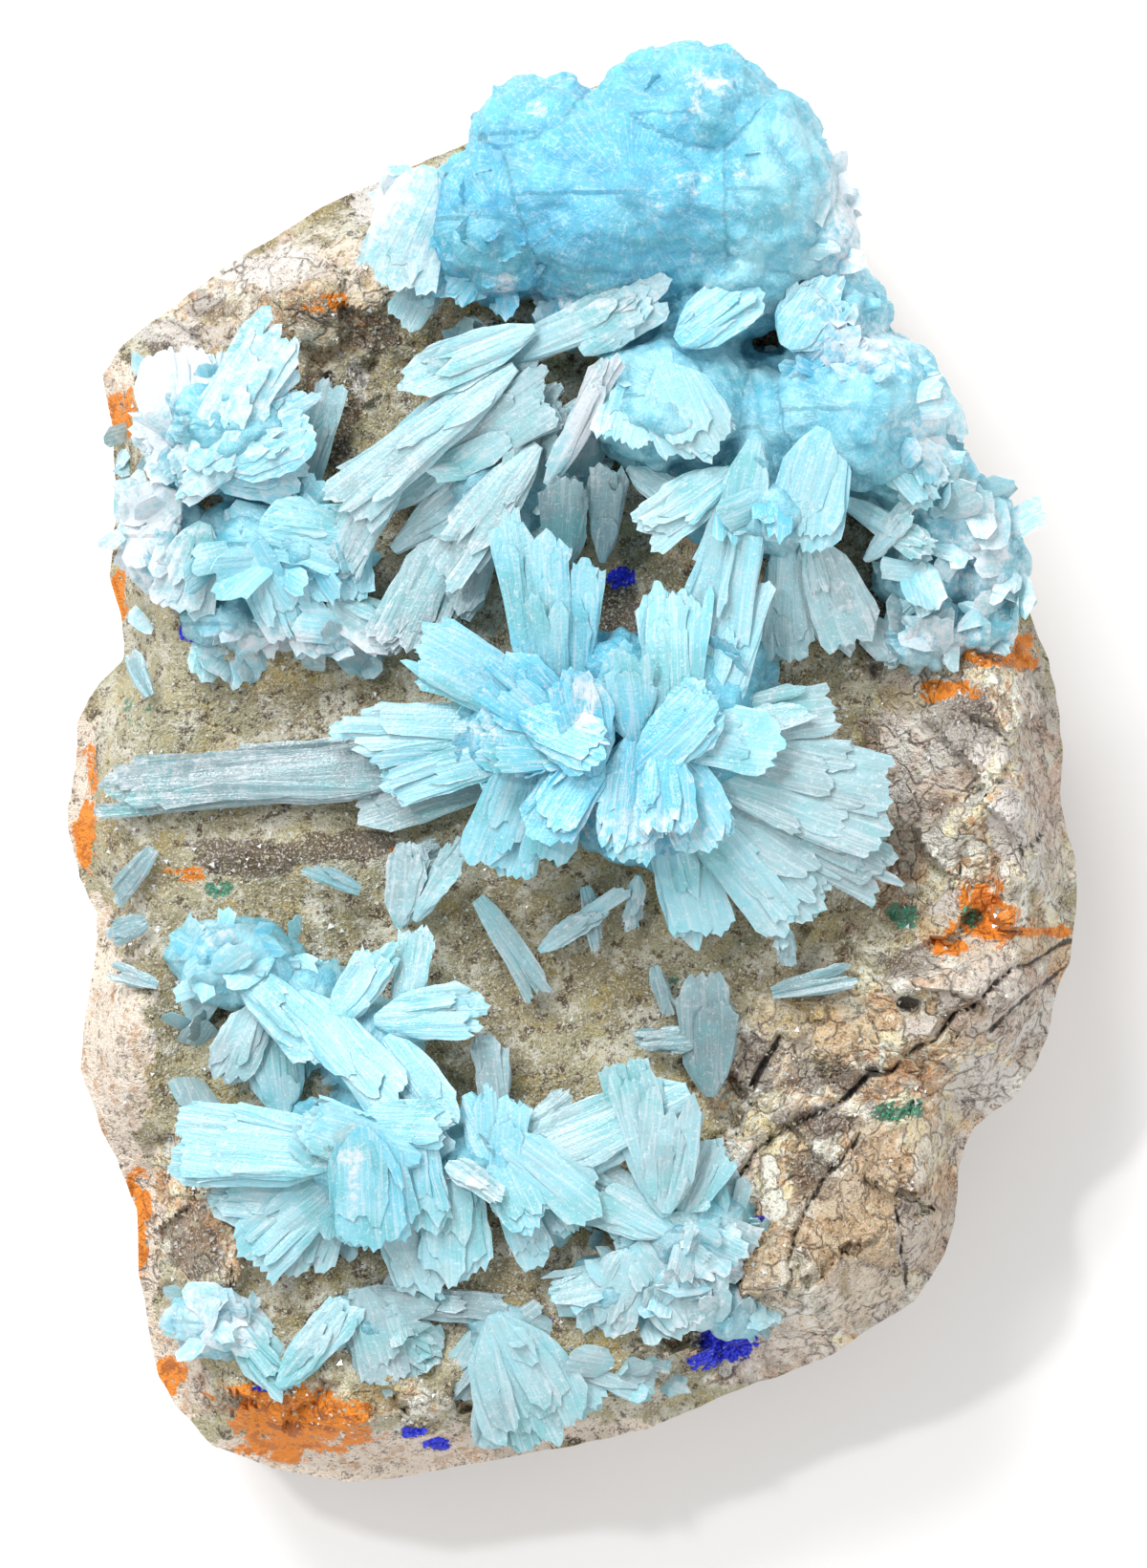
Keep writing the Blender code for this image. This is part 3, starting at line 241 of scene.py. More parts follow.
# Sheaves: root, tip, width at root, width at tip, thickness, tint, frost (0 clear to 1 white).
SHEAVES = {
    "upper_crystal_mass": (
        ((-11.0, 15.0, 20.2), (-2.2, 22.2, 25.0), 1.6, 2.6, 1.2, 0.4, 0.1),
        ((-10.4, 13.2, 20.2), (-0.6, 19.6, 26.2), 2.0, 2.6, 1.3, 0.3, 0.25),
        ((-9.4, 11.2, 20.5), (1.0, 20.4, 25.0), 2.0, 3.0, 1.3, 0.15, 0.0),
        ((-4.4, 20.8, 23.6), (5.2, 24.9, 28.4), 2.0, 2.0, 1.3, 0.3, 0.3),
        ((-1.4, 14.6, 24.0), (2.3, 21.3, 28.4), 1.4, 1.3, 1.1, 0.3, 0.75),
        ((-0.5, 10.2, 20.6), (-0.3, 15.4, 25.6), 1.6, 2.6, 1.1, 0.1, 0.0),
        ((1.5, 10.6, 20.6), (1.8, 16.4, 25.8), 1.2, 1.8, 1.0, 0.1, 0.1),
        ((2.8, 15.4, 23.6), (6.6, 13.0, 25.2), 1.2, 1.6, 1.0, 0.3, 0.1),
        ((-6.6, 12.4, 21.0), (-9.4, 5.8, 20.6), 2.2, 3.0, 1.2, 0.2, 0.35),
        ((-4.6, 12.6, 21.0), (-6.4, 6.4, 20.8), 1.8, 2.4, 1.1, 0.2, 0.3),
        ((-7.2, 25.2, 21.5), (-8.6, 31.0, 25.0), 2.0, 3.0, 1.5, 0.45, 0.3),
        ((-6.6, 27.4, 21.0), (-9.0, 22.6, 22.6), 1.8, 2.2, 1.2, 0.35, 0.2),
        ((11.0, 12.4, 24.6), (11.2, 5.0, 21.2), 1.6, 2.6, 1.2, 0.3, 0.05),
        ((12.2, 12.0, 24.8), (14.9, 5.6, 21.4), 1.6, 3.8, 1.2, 0.2, 0.2),
        ((13.6, 14.0, 23.4), (19.0, 11.0, 23.4), 1.0, 1.2, 0.9, 0.3, 0.5),
        ((15.2, 10.6, 22.8), (17.8, 13.6, 24.4), 0.9, 1.1, 0.9, 0.3, 0.5),
        ((16.2, 7.2, 20.6), (19.0, 10.4, 22.8), 0.9, 1.2, 0.9, 0.35, 0.4),
        ((12.0, 20.5, 25.5), (14.4, 23.6, 27.6), 3.0, 4.2, 1.5, 0.7, 0.3),
        ((16.4, 19.4, 24.4), (19.4, 19.4, 24.0), 3.0, 4.4, 1.4, 0.6, 0.3),
        ((3.4, 20.6, 26.6), (2.4, 16.2, 27.4), 2.0, 3.4, 1.3, 0.55, 0.0),
        ((-4.8, 26.4, 24.5), (-6.9, 24.2, 23.4), 2.4, 3.0, 1.3, 0.8, 0.1),
        ((0.4, 21.4, 26.0), (4.6, 24.8, 27.6), 2.0, 2.6, 1.2, 0.4, 0.3),
        ((5.4, 21.8, 27.4), (9.4, 24.8, 27.6), 2.4, 3.2, 1.2, 0.6, 0.2),
        ((11.0, 21.6, 26.6), (13.6, 25.2, 26.8), 2.6, 3.6, 1.2, 0.6, 0.3),
        ((-7.4, 31.0, 25.4), (-9.8, 24.4, 24.4), 2.8, 4.2, 1.3, 0.4, 0.6),
        ((9.4, 16.8, 27.0), (7.2, 5.4, 24.6), 2.6, 3.4, 1.2, 0.45, 0.15),
        ((8.2, 15.2, 26.4), (3.4, 11.6, 26.2), 2.2, 2.8, 1.2, 0.4, 0.15),
        ((-3.0, 20.6, 25.4), (-13.2, 13.0, 23.0), 2.0, 2.6, 1.2, 0.3, 0.3),
        ((-2.0, 22.6, 26.0), (-9.4, 19.4, 24.4), 1.8, 2.4, 1.2, 0.35, 0.3),
        ((-8.6, 17.2, 23.4), (-12.6, 9.4, 21.6), 1.8, 2.6, 1.2, 0.3, 0.3),
        ((-1.8, 16.6, 24.4), (-7.6, 9.0, 22.8), 1.8, 2.8, 1.2, 0.25, 0.3),
        ((13.0, 17.4, 27.4), (11.6, 11.0, 25.6), 3.0, 4.2, 1.3, 0.5, 0.2),
        ((4.6, 20.6, 28.0), (7.2, 15.6, 27.6), 2.8, 4.4, 1.3, 0.45, 0.1),
        ((16.2, 16.8, 25.6), (19.8, 14.2, 24.0), 2.6, 4.0, 1.2, 0.5, 0.4),
    ),
    "left_sheaf_cluster": (
        ((-19.8, 15.4, 23.6), (-15.0, 23.8, 24.2), 3.4, 3.2, 1.5, 0.5, 0.8),
        ((-19.8, 15.4, 22.8), (-20.4, 22.4, 22.6), 3.6, 5.0, 1.4, 0.4, 1.1),
        ((-18.8, 16.0, 23.4), (-13.4, 19.0, 23.2), 3.8, 5.0, 1.5, 0.62, 0.5),
        ((-19.2, 16.2, 22.8), (-14.0, 14.6, 22.0), 3.6, 3.4, 1.3, 0.6, 0.5),
        ((-17.6, 17.0, 23.8), (-21.6, 14.4, 22.6), 3.0, 3.8, 1.3, 0.5, 0.8),
        ((-19.6, 17.4, 22.4), (-23.0, 16.6, 21.0), 3.2, 5.0, 1.3, 0.3, 0.5),
        ((-17.8, 13.6, 21.2), (-12.2, 8.8, 21.2), 2.4, 2.8, 1.2, 0.55, 0.05),
        ((-18.0, 13.4, 20.8), (-16.0, 8.6, 20.6), 2.0, 1.4, 1.1, 0.5, 0.1),
        ((-11.8, 12.8, 20.8), (-11.8, 8.2, 20.8), 2.2, 2.4, 1.2, 0.6, 0.0),
        ((-14.6, 12.8, 19.6), (-12.4, 20.6, 20.8), 1.6, 1.2, 1.0, 0.3, 0.3),
        ((-16.4, 9.0, 19.2), (-16.2, 5.4, 18.6), 2.0, 2.6, 1.1, 0.35, 0.5),
        ((-13.0, 9.0, 19.4), (-12.0, 5.4, 18.8), 2.4, 3.4, 1.1, 0.35, 0.5),
        ((-16.4, 12.4, 22.6), (-11.2, 11.4, 21.8), 2.4, 3.6, 1.2, 0.55, 0.1),
        ((-16.8, 11.6, 22.2), (-14.4, 6.6, 20.8), 2.4, 3.6, 1.2, 0.55, 0.15),
        ((-19.2, 12.6, 21.6), (-21.0, 7.6, 19.6), 2.2, 3.2, 1.1, 0.35, 0.6),
        ((-20.6, 14.0, 21.4), (-23.4, 12.4, 18.8), 2.2, 3.4, 1.1, 0.25, 0.7),
        ((-20.8, 12.6, 20.8), (-23.2, 9.6, 17.8), 2.0, 3.0, 1.1, 0.25, 0.7),
        ((-12.8, 8.6, 20.6), (-8.8, 6.4, 20.0), 1.8, 2.8, 1.1, 0.35, 0.4),
    ),
    "centre_rosette": (
        ((-1.6, 3.0, 23.4), (-3.3, 13.2, 24.4), 2.2, 2.2, 1.3, 0.6, 0.15),
        ((-0.8, 3.4, 24.4), (-1.2, 12.0, 27.2), 1.8, 1.8, 1.2, 0.6, 0.1),
        ((0.2, 3.4, 24.2), (0.6, 10.8, 26.4), 1.6, 1.8, 1.1, 0.65, 0.05),
        ((-2.2, 3.0, 23.4), (-9.0, 6.6, 23.6), 2.6, 3.8, 1.3, 0.65, 0.0),
        ((-2.8, 2.0, 22.6), (-12.5, 1.8, 21.8), 2.6, 2.8, 1.3, 0.5, 0.1),
        ((-2.6, 1.0, 23.2), (-10.0, -1.2, 21.6), 2.4, 2.6, 1.2, 0.5, 0.05),
        ((-2.0, 0.6, 24.0), (-4.6, -6.0, 22.0), 2.6, 4.4, 1.3, 0.62, 0.0),
        ((-0.6, 0.2, 24.8), (-1.2, -5.2, 23.2), 2.4, 2.8, 1.3, 0.72, 0.0),
        ((6.6, 2.0, 23.6), (13.8, 3.0, 23.4), 2.2, 2.8, 1.2, 0.25, 0.1),
        ((7.0, 0.8, 23.2), (16.8, -1.0, 22.6), 2.4, 3.4, 1.3, 0.2, 0.15),
        ((6.8, -0.4, 23.4), (16.6, -4.0, 22.2), 2.4, 3.0, 1.2, 0.25, 0.2),
        ((6.6, -1.4, 22.6), (17.6, -6.4, 20.8), 2.2, 2.4, 1.2, 0.2, 0.1),
        ((6.2, -2.0, 22.8), (14.2, -7.6, 20.9), 2.4, 3.8, 1.2, 0.3, 0.1),
        ((5.8, -2.2, 23.8), (11.4, -8.8, 21.0), 2.2, 2.6, 1.2, 0.4, 0.0),
        ((5.0, -2.6, 22.8), (6.8, -9.4, 20.8), 2.8, 3.6, 1.2, 0.5, 0.0),
        ((6.6, 1.4, 24.6), (8.6, 10.2, 25.0), 3.0, 4.2, 1.4, 0.45, 0.1),
        ((5.0, 1.6, 25.8), (5.2, 9.8, 26.2), 3.0, 3.6, 1.3, 0.6, 0.1),
        ((3.2, 1.2, 25.6), (2.6, 6.6, 27.4), 2.2, 3.0, 1.2, 0.7, 0.1),
        ((0.8, 0.6, 25.6), (-4.6, 5.2, 26.6), 2.4, 3.8, 1.2, 0.8, 0.15),
        ((1.0, 0.8, 25.6), (-5.6, 1.4, 26.2), 2.2, 3.6, 1.2, 0.82, 0.15),
        ((1.4, 1.2, 25.8), (-1.8, -4.0, 25.8), 2.2, 3.4, 1.2, 0.82, 0.15),
        ((1.0, -0.6, 26.2), (0.2, 5.4, 27.4), 2.2, 3.2, 1.2, 0.85, 0.2),
        ((-2.8, 2.6, 26.4), (1.8, 0.6, 27.4), 2.0, 3.0, 1.1, 0.85, 0.3),
        ((3.0, 1.4, 25.6), (2.4, -5.2, 25.2), 2.4, 3.6, 1.2, 0.76, 0.2),
        ((4.0, 1.4, 25.4), (8.0, -4.6, 24.8), 2.4, 3.8, 1.2, 0.66, 0.2),
        ((4.0, 2.0, 25.6), (11.0, 1.0, 25.2), 2.4, 3.6, 1.2, 0.55, 0.2),
        ((3.4, -0.4, 26.2), (7.8, 3.8, 26.8), 2.2, 3.4, 1.2, 0.7, 0.15),
        ((4.6, 0.8, 26.4), (5.0, -3.8, 26.4), 2.0, 3.4, 1.1, 0.76, 0.25),
        ((-3.0, 0.2, 20.4), (-11.6, -2.8, 19.4), 2.6, 3.4, 1.1, 0.15, 0.0),
        ((-1.8, -9.8, 17.8), (3.0, -6.5, 19.2), 1.1, 1.2, 0.9, 0.3, 0.4),
        ((3.4, -5.8, 19.4), (3.0, -8.8, 18.2), 0.9, 0.9, 0.8, 0.3, 0.4),
        ((10.9, -8.2, 20.6), (11.2, -11.2, 18.8), 0.9, 1.0, 0.8, 0.25, 0.3),
    ),
    "left_floor_spray": (
        ((-9.0, -0.4, 20.4), (-25.8, -1.2, 19.0), 4.6, 1.7, 1.3, 0.1, 0.5),
        ((-9.6, 0.6, 19.6), (-20.4, -0.6, 18.6), 3.4, 1.6, 1.1, 0.1, 0.4),
    ),
    "lower_left_cluster": (
        ((-14.4, -12.0, 20.8), (-9.0, -18.0, 23.4), 2.6, 2.8, 1.4, 0.5, 0.05),
        ((-10.4, -13.4, 21.2), (-4.4, -13.0, 21.4), 2.2, 3.0, 1.3, 0.5, 0.05),
        ((-8.8, -13.0, 20.6), (-8.2, -8.2, 20.4), 2.0, 1.8, 1.1, 0.4, 0.2),
        ((-15.2, -18.6, 19.0), (-16.0, -12.4, 19.4), 2.2, 3.4, 1.2, 0.35, 0.0),
        ((-11.8, -20.4, 23.0), (-21.4, -19.0, 21.8), 3.2, 4.6, 1.5, 0.52, 0.0),
        ((-12.0, -21.0, 21.6), (-17.4, -25.8, 20.4), 2.6, 3.8, 1.3, 0.45, 0.05),
        ((-11.0, -18.6, 23.2), (-6.2, -18.8, 23.4), 2.4, 2.6, 1.3, 0.55, 0.0),
        ((-11.0, -18.8, 24.4), (-10.2, -25.8, 22.2), 3.2, 4.6, 1.5, 0.68, 0.05),
        ((-12.4, -20.8, 20.4), (-14.6, -26.8, 19.4), 2.4, 3.4, 1.2, 0.35, 0.05),
        ((-3.8, -22.2, 21.8), (-3.6, -16.6, 22.4), 2.2, 2.8, 1.3, 0.6, 0.0),
        ((-6.6, -20.8, 22.6), (-3.6, -22.6, 23.0), 1.6, 1.2, 1.0, 0.3, 0.5),
        ((-6.4, -20.6, 21.6), (-6.2, -27.2, 20.4), 2.6, 3.8, 1.3, 0.42, 0.05),
        ((-4.0, -20.8, 21.6), (-1.6, -26.6, 20.6), 1.8, 2.2, 1.2, 0.45, 0.05),
        ((-2.8, -20.6, 20.8), (-0.2, -24.8, 20.4), 1.6, 1.8, 1.1, 0.4, 0.1),
        ((-4.4, -21.0, 21.2), (0.4, -17.4, 21.6), 1.8, 2.4, 1.2, 0.3, 0.1),
        ((-4.0, -19.4, 19.6), (-4.7, -13.6, 19.9), 1.4, 1.8, 1.1, 0.15, 0.1),
        ((-4.2, -21.2, 20.2), (1.6, -20.6, 20.2), 1.6, 2.0, 1.1, 0.3, 0.05),
        ((-9.0, -17.6, 23.2), (-8.2, -25.0, 22.0), 2.6, 3.8, 1.3, 0.58, 0.05),
        ((-8.0, -20.6, 23.4), (-14.6, -18.6, 23.8), 2.2, 3.2, 1.2, 0.58, 0.15),
        ((-5.6, -17.2, 21.8), (-2.2, -24.2, 22.4), 2.0, 2.6, 1.2, 0.6, 0.1),
        ((-3.8, -19.4, 22.4), (1.8, -23.6, 21.6), 2.0, 3.0, 1.2, 0.45, 0.2),
        ((-9.8, -14.2, 22.0), (-6.2, -18.8, 22.8), 1.8, 2.6, 1.2, 0.5, 0.1),
        ((-12.6, -13.6, 21.6), (-9.4, -9.2, 21.4), 1.6, 2.4, 1.1, 0.5, 0.2),
        ((-1.4, -21.8, 21.4), (3.4, -18.4, 21.6), 1.6, 2.4, 1.1, 0.4, 0.1),
        ((-13.8, -23.0, 20.8), (-19.2, -22.4, 20.2), 2.0, 2.8, 1.2, 0.4, 0.1),
        ((-9.8, -22.4, 21.0), (-7.2, -28.0, 19.8), 2.0, 3.2, 1.2, 0.4, 0.1),
        ((-17.6, -10.6, 21.0), (-12.6, -15.4, 21.8), 2.2, 2.4, 1.2, 0.5, 0.3),
        ((-16.4, -12.6, 20.2), (-18.6, -17.2, 19.8), 1.8, 2.8, 1.1, 0.25, 0.05),
        ((-9.1, -8.6, 19.6), (-8.5, -3.4, 20.8), 1.4, 2.2, 1.0, 0.2, 0.4),
        ((-8.3, -8.2, 19.8), (-5.6, -3.8, 21.0), 1.1, 1.3, 0.9, 0.3, 0.3),
    ),
    "curved_fan_cluster": (
        ((4.8, -23.6, 21.4), (2.7, -15.4, 22.8), 2.0, 2.8, 1.3, 0.35, 0.05),
        ((4.8, -23.4, 21.8), (5.4, -16.8, 23.2), 2.2, 3.4, 1.4, 0.3, 0.1),
        ((5.6, -23.6, 20.8), (7.6, -19.4, 21.2), 1.6, 2.4, 1.2, 0.3, 0.1),
        ((4.4, -24.8, 20.0), (1.9, -24.2, 20.4), 1.8, 2.4, 1.2, 0.4, 0.05),
        ((3.4, -26.6, 19.8), (-1.8, -27.8, 19.8), 1.8, 2.0, 1.1, 0.25, 0.1),
        ((6.0, -17.0, 22.4), (-2.2, -20.6, 21.6), 3.0, 3.4, 1.2, 0.36, 0.05),
        ((5.2, -24.4, 21.0), (0.0, -21.6, 21.0), 2.2, 3.2, 1.2, 0.3, 0.15),
        ((4.6, -23.8, 21.0), (9.6, -26.4, 20.0), 2.4, 3.6, 1.2, 0.25, 0.3),
        ((3.2, -25.0, 20.6), (6.8, -29.8, 19.4), 2.2, 3.6, 1.2, 0.25, 0.3),
        ((3.0, -25.4, 20.6), (1.2, -30.0, 19.2), 2.2, 3.2, 1.2, 0.25, 0.2),
    ),
    "bottom_fan_cluster": (
        ((-18.6, -28.2, 18.6), (-14.4, -33.0, 18.4), 1.8, 2.0, 1.2, 0.4, 0.1),
        ((-15.4, -32.6, 19.2), (-11.6, -27.8, 19.6), 1.8, 2.2, 1.2, 0.38, 0.1),
        ((-11.8, -28.2, 18.6), (-7.4, -32.4, 17.9), 2.4, 4.6, 1.2, 0.1, 0.05),
        ((-11.8, -27.8, 18.8), (-2.6, -28.8, 18.6), 1.6, 1.8, 1.1, 0.15, 0.15),
        ((-6.6, -32.0, 17.4), (-1.2, -28.2, 19.2), 1.0, 1.1, 0.9, 0.1, 0.3),
        ((-3.8, -29.6, 18.6), (-3.2, -36.0, 16.2), 2.2, 4.2, 1.3, 0.38, 0.05),
        ((-2.6, -30.0, 18.2), (1.6, -33.8, 16.8), 1.8, 2.6, 1.2, 0.3, 0.1),
        ((-2.4, -29.6, 18.0), (5.4, -32.4, 16.6), 1.8, 3.4, 1.2, 0.2, 0.1),
        ((-4.2, -28.8, 19.8), (-1.4, -36.0, 17.2), 2.4, 6.2, 1.3, 0.3, 0.1),
        ((-3.4, -28.8, 18.8), (-6.4, -33.4, 17.2), 1.8, 2.8, 1.1, 0.2, 0.1),
        ((-11.0, -27.4, 19.2), (-9.6, -33.0, 17.9), 2.2, 3.4, 1.1, 0.15, 0.1),
        ((-20.4, -27.4, 18.8), (-15.6, -31.0, 18.6), 2.0, 2.6, 1.1, 0.4, 0.5),
    ),
    "upright_striated_blade": (
        ((7.2, -17.4, 17.6), (6.9, -10.4, 19.8), 2.4, 2.9, 1.3, 0.15, 0.15),
        ((7.0, -14.4, 18.6), (2.2, -14.6, 18.0), 1.6, 1.2, 1.0, 0.1, 0.0),
    ),
    "floor_blade_1": (((-5.0, -7.0, 19.2), (-1.2, -12.4, 18.0), 1.6, 1.5, 1.0, 0.15, 0.1),),
    "floor_blade_2": (((-9.6, -5.4, 18.9), (-6.4, -4.4, 19.2), 1.2, 1.4, 0.9, 0.2, 0.1),),
    "floor_blade_3": (((0.6, -6.4, 18.2), (1.5, -10.4, 17.6), 1.2, 1.1, 0.9, 0.2, 0.1),),
    "floor_blade_4": (((-11.2, -6.6, 19.5), (-14.2, -5.2, 19.9), 1.2, 1.0, 0.9, 0.2, 0.1),),
    "floor_blade_5": (((4.2, -10.6, 17.8), (5.0, -13.2, 17.4), 1.0, 0.9, 0.8, 0.15, 0.1),),
    "floor_blade_6": (((10.4, -12.0, 18.2), (15.4, -10.8, 19.4), 1.4, 1.3, 0.9, 0.1, 0.0),),
    "left_edge_rod_1": (((-22.0, -4.4, 18.7), (-24.3, -7.4, 17.6), 1.2, 1.3, 1.0, 0.1, 0.2),),
    "left_edge_rod_2": (((-22.4, -8.2, 18.5), (-25.0, -9.2, 17.4), 1.3, 1.5, 1.0, 0.1, 0.2),),
    "left_edge_rod_3": (((-21.8, -11.6, 18.5), (-24.4, -10.6, 17.7), 1.0, 0.9, 0.8, 0.1, 0.1),),
    "left_edge_rod_4": (((-22.2, 3.6, 18.2), (-23.6, 6.2, 17.2), 1.0, 1.0, 0.9, 0.1, 0.1),),
}

# Patches of small blades: x, y, radius in x, in y, count, length from, to (before the stretch), tint, frost.
CRUST_STRETCH = 1.9
CRUSTS = {
    "left_sheaf_cluster": (
        (-22.4, 12.0, 1.9, 4.4, 16, 0.8, 1.9, 0.25, 0.8), (-16.6, 6.6, 3.6, 1.5, 13, 0.8, 2.0, 0.3, 0.8),
        (-11.4, 6.6, 2.6, 1.4, 10, 0.8, 2.0, 0.3, 0.7), (-22.6, 18.0, 1.4, 3.0, 7, 0.8, 1.6, 0.3, 0.8),
        (-15.0, 11.2, 4.4, 2.6, 14, 1.0, 2.4, 0.55, 0.1),
    ),
    "upper_crystal_mass": (
        (19.6, 12.8, 3.4, 2.4, 18, 0.9, 2.2, 0.35, 0.7), (22.2, 9.6, 1.9, 2.8, 13, 0.8, 1.8, 0.3, 0.8),
        (18.8, 6.8, 3.6, 1.2, 13, 0.8, 1.9, 0.25, 0.8), (17.4, 9.6, 2.2, 2.0, 8, 0.9, 1.9, 0.3, 0.5),
        (-9.4, 29.6, 2.4, 1.6, 8, 0.8, 1.6, 0.35, 0.9), (-3.6, 14.4, 5.4, 4.0, 13, 1.2, 2.8, 0.15, 0.2),
        (13.6, 27.0, 1.3, 4.4, 11, 0.8, 1.6, 0.4, 0.9), (9.4, 13.4, 3.8, 2.0, 10, 0.8, 1.8, 0.55, 0.2),
        (18.4, 16.8, 2.2, 2.6, 11, 0.8, 1.6, 0.5, 0.7), (14.4, 21.4, 3.6, 1.6, 11, 0.7, 1.5, 0.75, 0.6),
        (-6.6, 22.4, 2.2, 1.6, 3, 1.4, 3.2, 0.2, 0.6),
    ),
    "lower_left_cluster": (
        (-17.4, -10.2, 3.6, 2.4, 17, 0.7, 1.6, 0.5, 0.35), (-13.8, -12.4, 2.4, 2.0, 7, 0.8, 1.8, 0.5, 0.2),
        (-20.4, -14.8, 1.8, 3.4, 5, 0.9, 2.2, 0.15, 0.1), (-6.0, -21.0, 4.6, 3.2, 11, 1.0, 2.6, 0.4, 0.2),
        (-14.6, -21.6, 4.2, 3.2, 11, 1.0, 2.4, 0.35, 0.1),
    ),
    "curved_fan_cluster": (
        (7.2, -24.6, 3.0, 3.4, 20, 0.7, 1.7, 0.25, 0.5), (4.4, -28.0, 4.4, 1.9, 18, 0.8, 1.9, 0.25, 0.45),
        (9.0, -28.6, 1.6, 1.4, 6, 0.7, 1.5, 0.2, 0.4), (0.6, -23.4, 2.2, 1.8, 6, 0.9, 2.0, 0.3, 0.2),
    ),
    "bottom_fan_cluster": (
        (-18.9, -29.2, 2.6, 2.0, 16, 0.7, 1.6, 0.35, 0.8), (-10.0, -29.8, 3.4, 1.8, 8, 1.0, 2.2, 0.12, 0.2),
        (-2.0, -31.0, 2.6, 1.8, 6, 0.9, 2.0, 0.25, 0.2), (3.8, -31.6, 2.6, 1.4, 6, 0.8, 1.8, 0.2, 0.3),
    ),
}

# The lone or almost clear crystals.
CLEAR_BLADES = ("left_floor_spray", "upright_striated_blade") + tuple(
    name for name in SHEAVES if name.startswith(("floor_blade", "left_edge_rod"))
)

# Where the crystals turn white: x, y, radius in x, in y, strength.
FROST_SPOTS = (
    (14.2, 29.0, 1.3, 4.6, 0.9), (7.0, 35.2, 1.2, 0.7, 0.9), (6.3, 34.0, 0.5, 0.9, 0.8), (-2.0, 34.0, 0.7, 0.5, 0.7),
    (-3.7, 24.8, 0.7, 0.4, 0.8), (15.4, 21.6, 2.8, 1.8, 0.8), (18.6, 17.6, 1.6, 2.4, 0.7), (0.7, 3.8, 0.9, 0.6, 1.2),
    (0.6, 2.3, 0.5, 0.5, 1.0), (-5.0, 1.6, 1.2, 1.0, 0.5), (3.6, -3.2, 3.2, 1.0, 0.5), (-11.5, -20.4, 0.8, 0.5, 1.2),
    (-11.5, -22.0, 0.35, 1.6, 1.0), (-5.4, -21.6, 1.6, 0.6, 0.4), (-21.8, 18.4, 1.6, 3.0, 0.7),
    (-20.6, 21.4, 2.2, 0.8, 0.7), (-22.6, 11.6, 1.6, 4.4, 0.9), (-16.0, 6.4, 3.8, 1.0, 0.8),
    (-11.4, 6.2, 2.4, 1.0, 0.7), (-10.6, 29.6, 2.6, 1.6, 0.9), (0.6, 18.0, 0.9, 3.0, 0.8), (0.0, 24.0, 2.6, 0.9, 0.5),
    (21.4, 11.0, 2.8, 3.6, 0.6), (19.2, 6.4, 3.4, 1.0, 0.7), (-18.9, -29.2, 2.6, 2.0, 0.6),
    (6.8, -26.4, 3.4, 3.0, 0.35), (-18.6, -9.0, 1.6, 0.9, 0.5), (14.0, 9.0, 1.0, 2.6, 0.3),
)

# Mesh of a petal, fine or coarse: fewest columns, width of a column, rows along it.
FINE_MESH = (6, 0.23, 8)
COARSE_MESH = (3, 0.32, 4)
# Broad plates of a sheaf: level, and shares of its width and of its length.
PLATES = ((-0.3, 0.98, 0.97), (0.0, 0.8, 0.9), (0.3, 0.6, 0.74))
# Narrow fans of a lone crystal: how far each turns aside.
LONE_TURNS = (-1.0, -0.4, 0.3, 1.0)

# Width of the blades whose ends cover the lumps of a cluster.
RAY_SIZE = {
    "upper_crystal_mass": 1.6, "centre_rosette": 2.1, "left_sheaf_cluster": 1.9, "lower_left_cluster": 1.7,
    "curved_fan_cluster": 1.2, "bottom_fan_cluster": 1.2,
}

# How much brighter the druse floor and the broken rock are than their mixed colours, per channel.
FLOOR_GAIN = (0.94, 0.99, 1.05)
BREAK_GAIN = (1.3, 1.22, 1.1)

# Lights: place and size in metres, and power as a share of the key light's.
LIGHTS = {
    "key": ((-0.2, 0.4, 0.5), 0.26, 1.0),
    "fill": ((0.45, -0.1, 0.5), 0.5, 0.85 / 3.5),
    "spark": ((-0.2, 0.12, 0.5), 0.03, 0.7 / 3.5),
}
# What the camera sees, in millimetres: height of the view, shift of its middle, and its level above the table.
VIEW_HEIGHT = 82.05
VIEW_SHIFT = -1.025
VIEW_LEVEL = 20.0

# Colours, as sRGB hex.
DEEP_SKY = "52BCE6"
SKY = "74D6F0"
AQUA = "A3E6F4"
PALE_BLADE = "B0DCE4"
GREY_TEAL = "A2C0C6"
SHADE_TEAL = "86C6D2"
TEAL = "7CCBD0"
MASS_BLUE = "52AFCA"
FROST = "EFF5FB"
DRUSE_BROWN = "A2936E"
# Painted shade for the hollows of the druse floor.
DRUSE_HOLLOW_SHADE = "67563C"
DRUSE_OLIVE = "BEB48E"
DRUSE_LIGHT = "E2DAC2"
RIND_CREAM = "F7E6D4"
RIND_SPECK = "6B4A36"
RUST = "FA9010"
RUST_DARK = "A4551C"
DARK_BROWN = "554232"
ROCK_WHITE = "E6E0DA"
GREY_MAUVE = "B8ACA6"
TAN = "D6B88C"
YELLOW_OCHRE = "C0A552"
WARM_BROWN = "B8803F"
BREAK_BROWN = "BAA080"
BREAK_BEIGE = "F0DCB8"
BREAK_PALE = "FAF3EA"
AZURITE_BLUE = "0C1CCC"
AZURITE_LIGHT = "2238E0"
MALACHITE_GREEN = "2F7A62"
MALACHITE_LIGHT = "4E9A7C"
# Painted shade inside the cracks.
CRACK_SHADE = "241B15"
PAPER_WHITE = "F7F7F7"
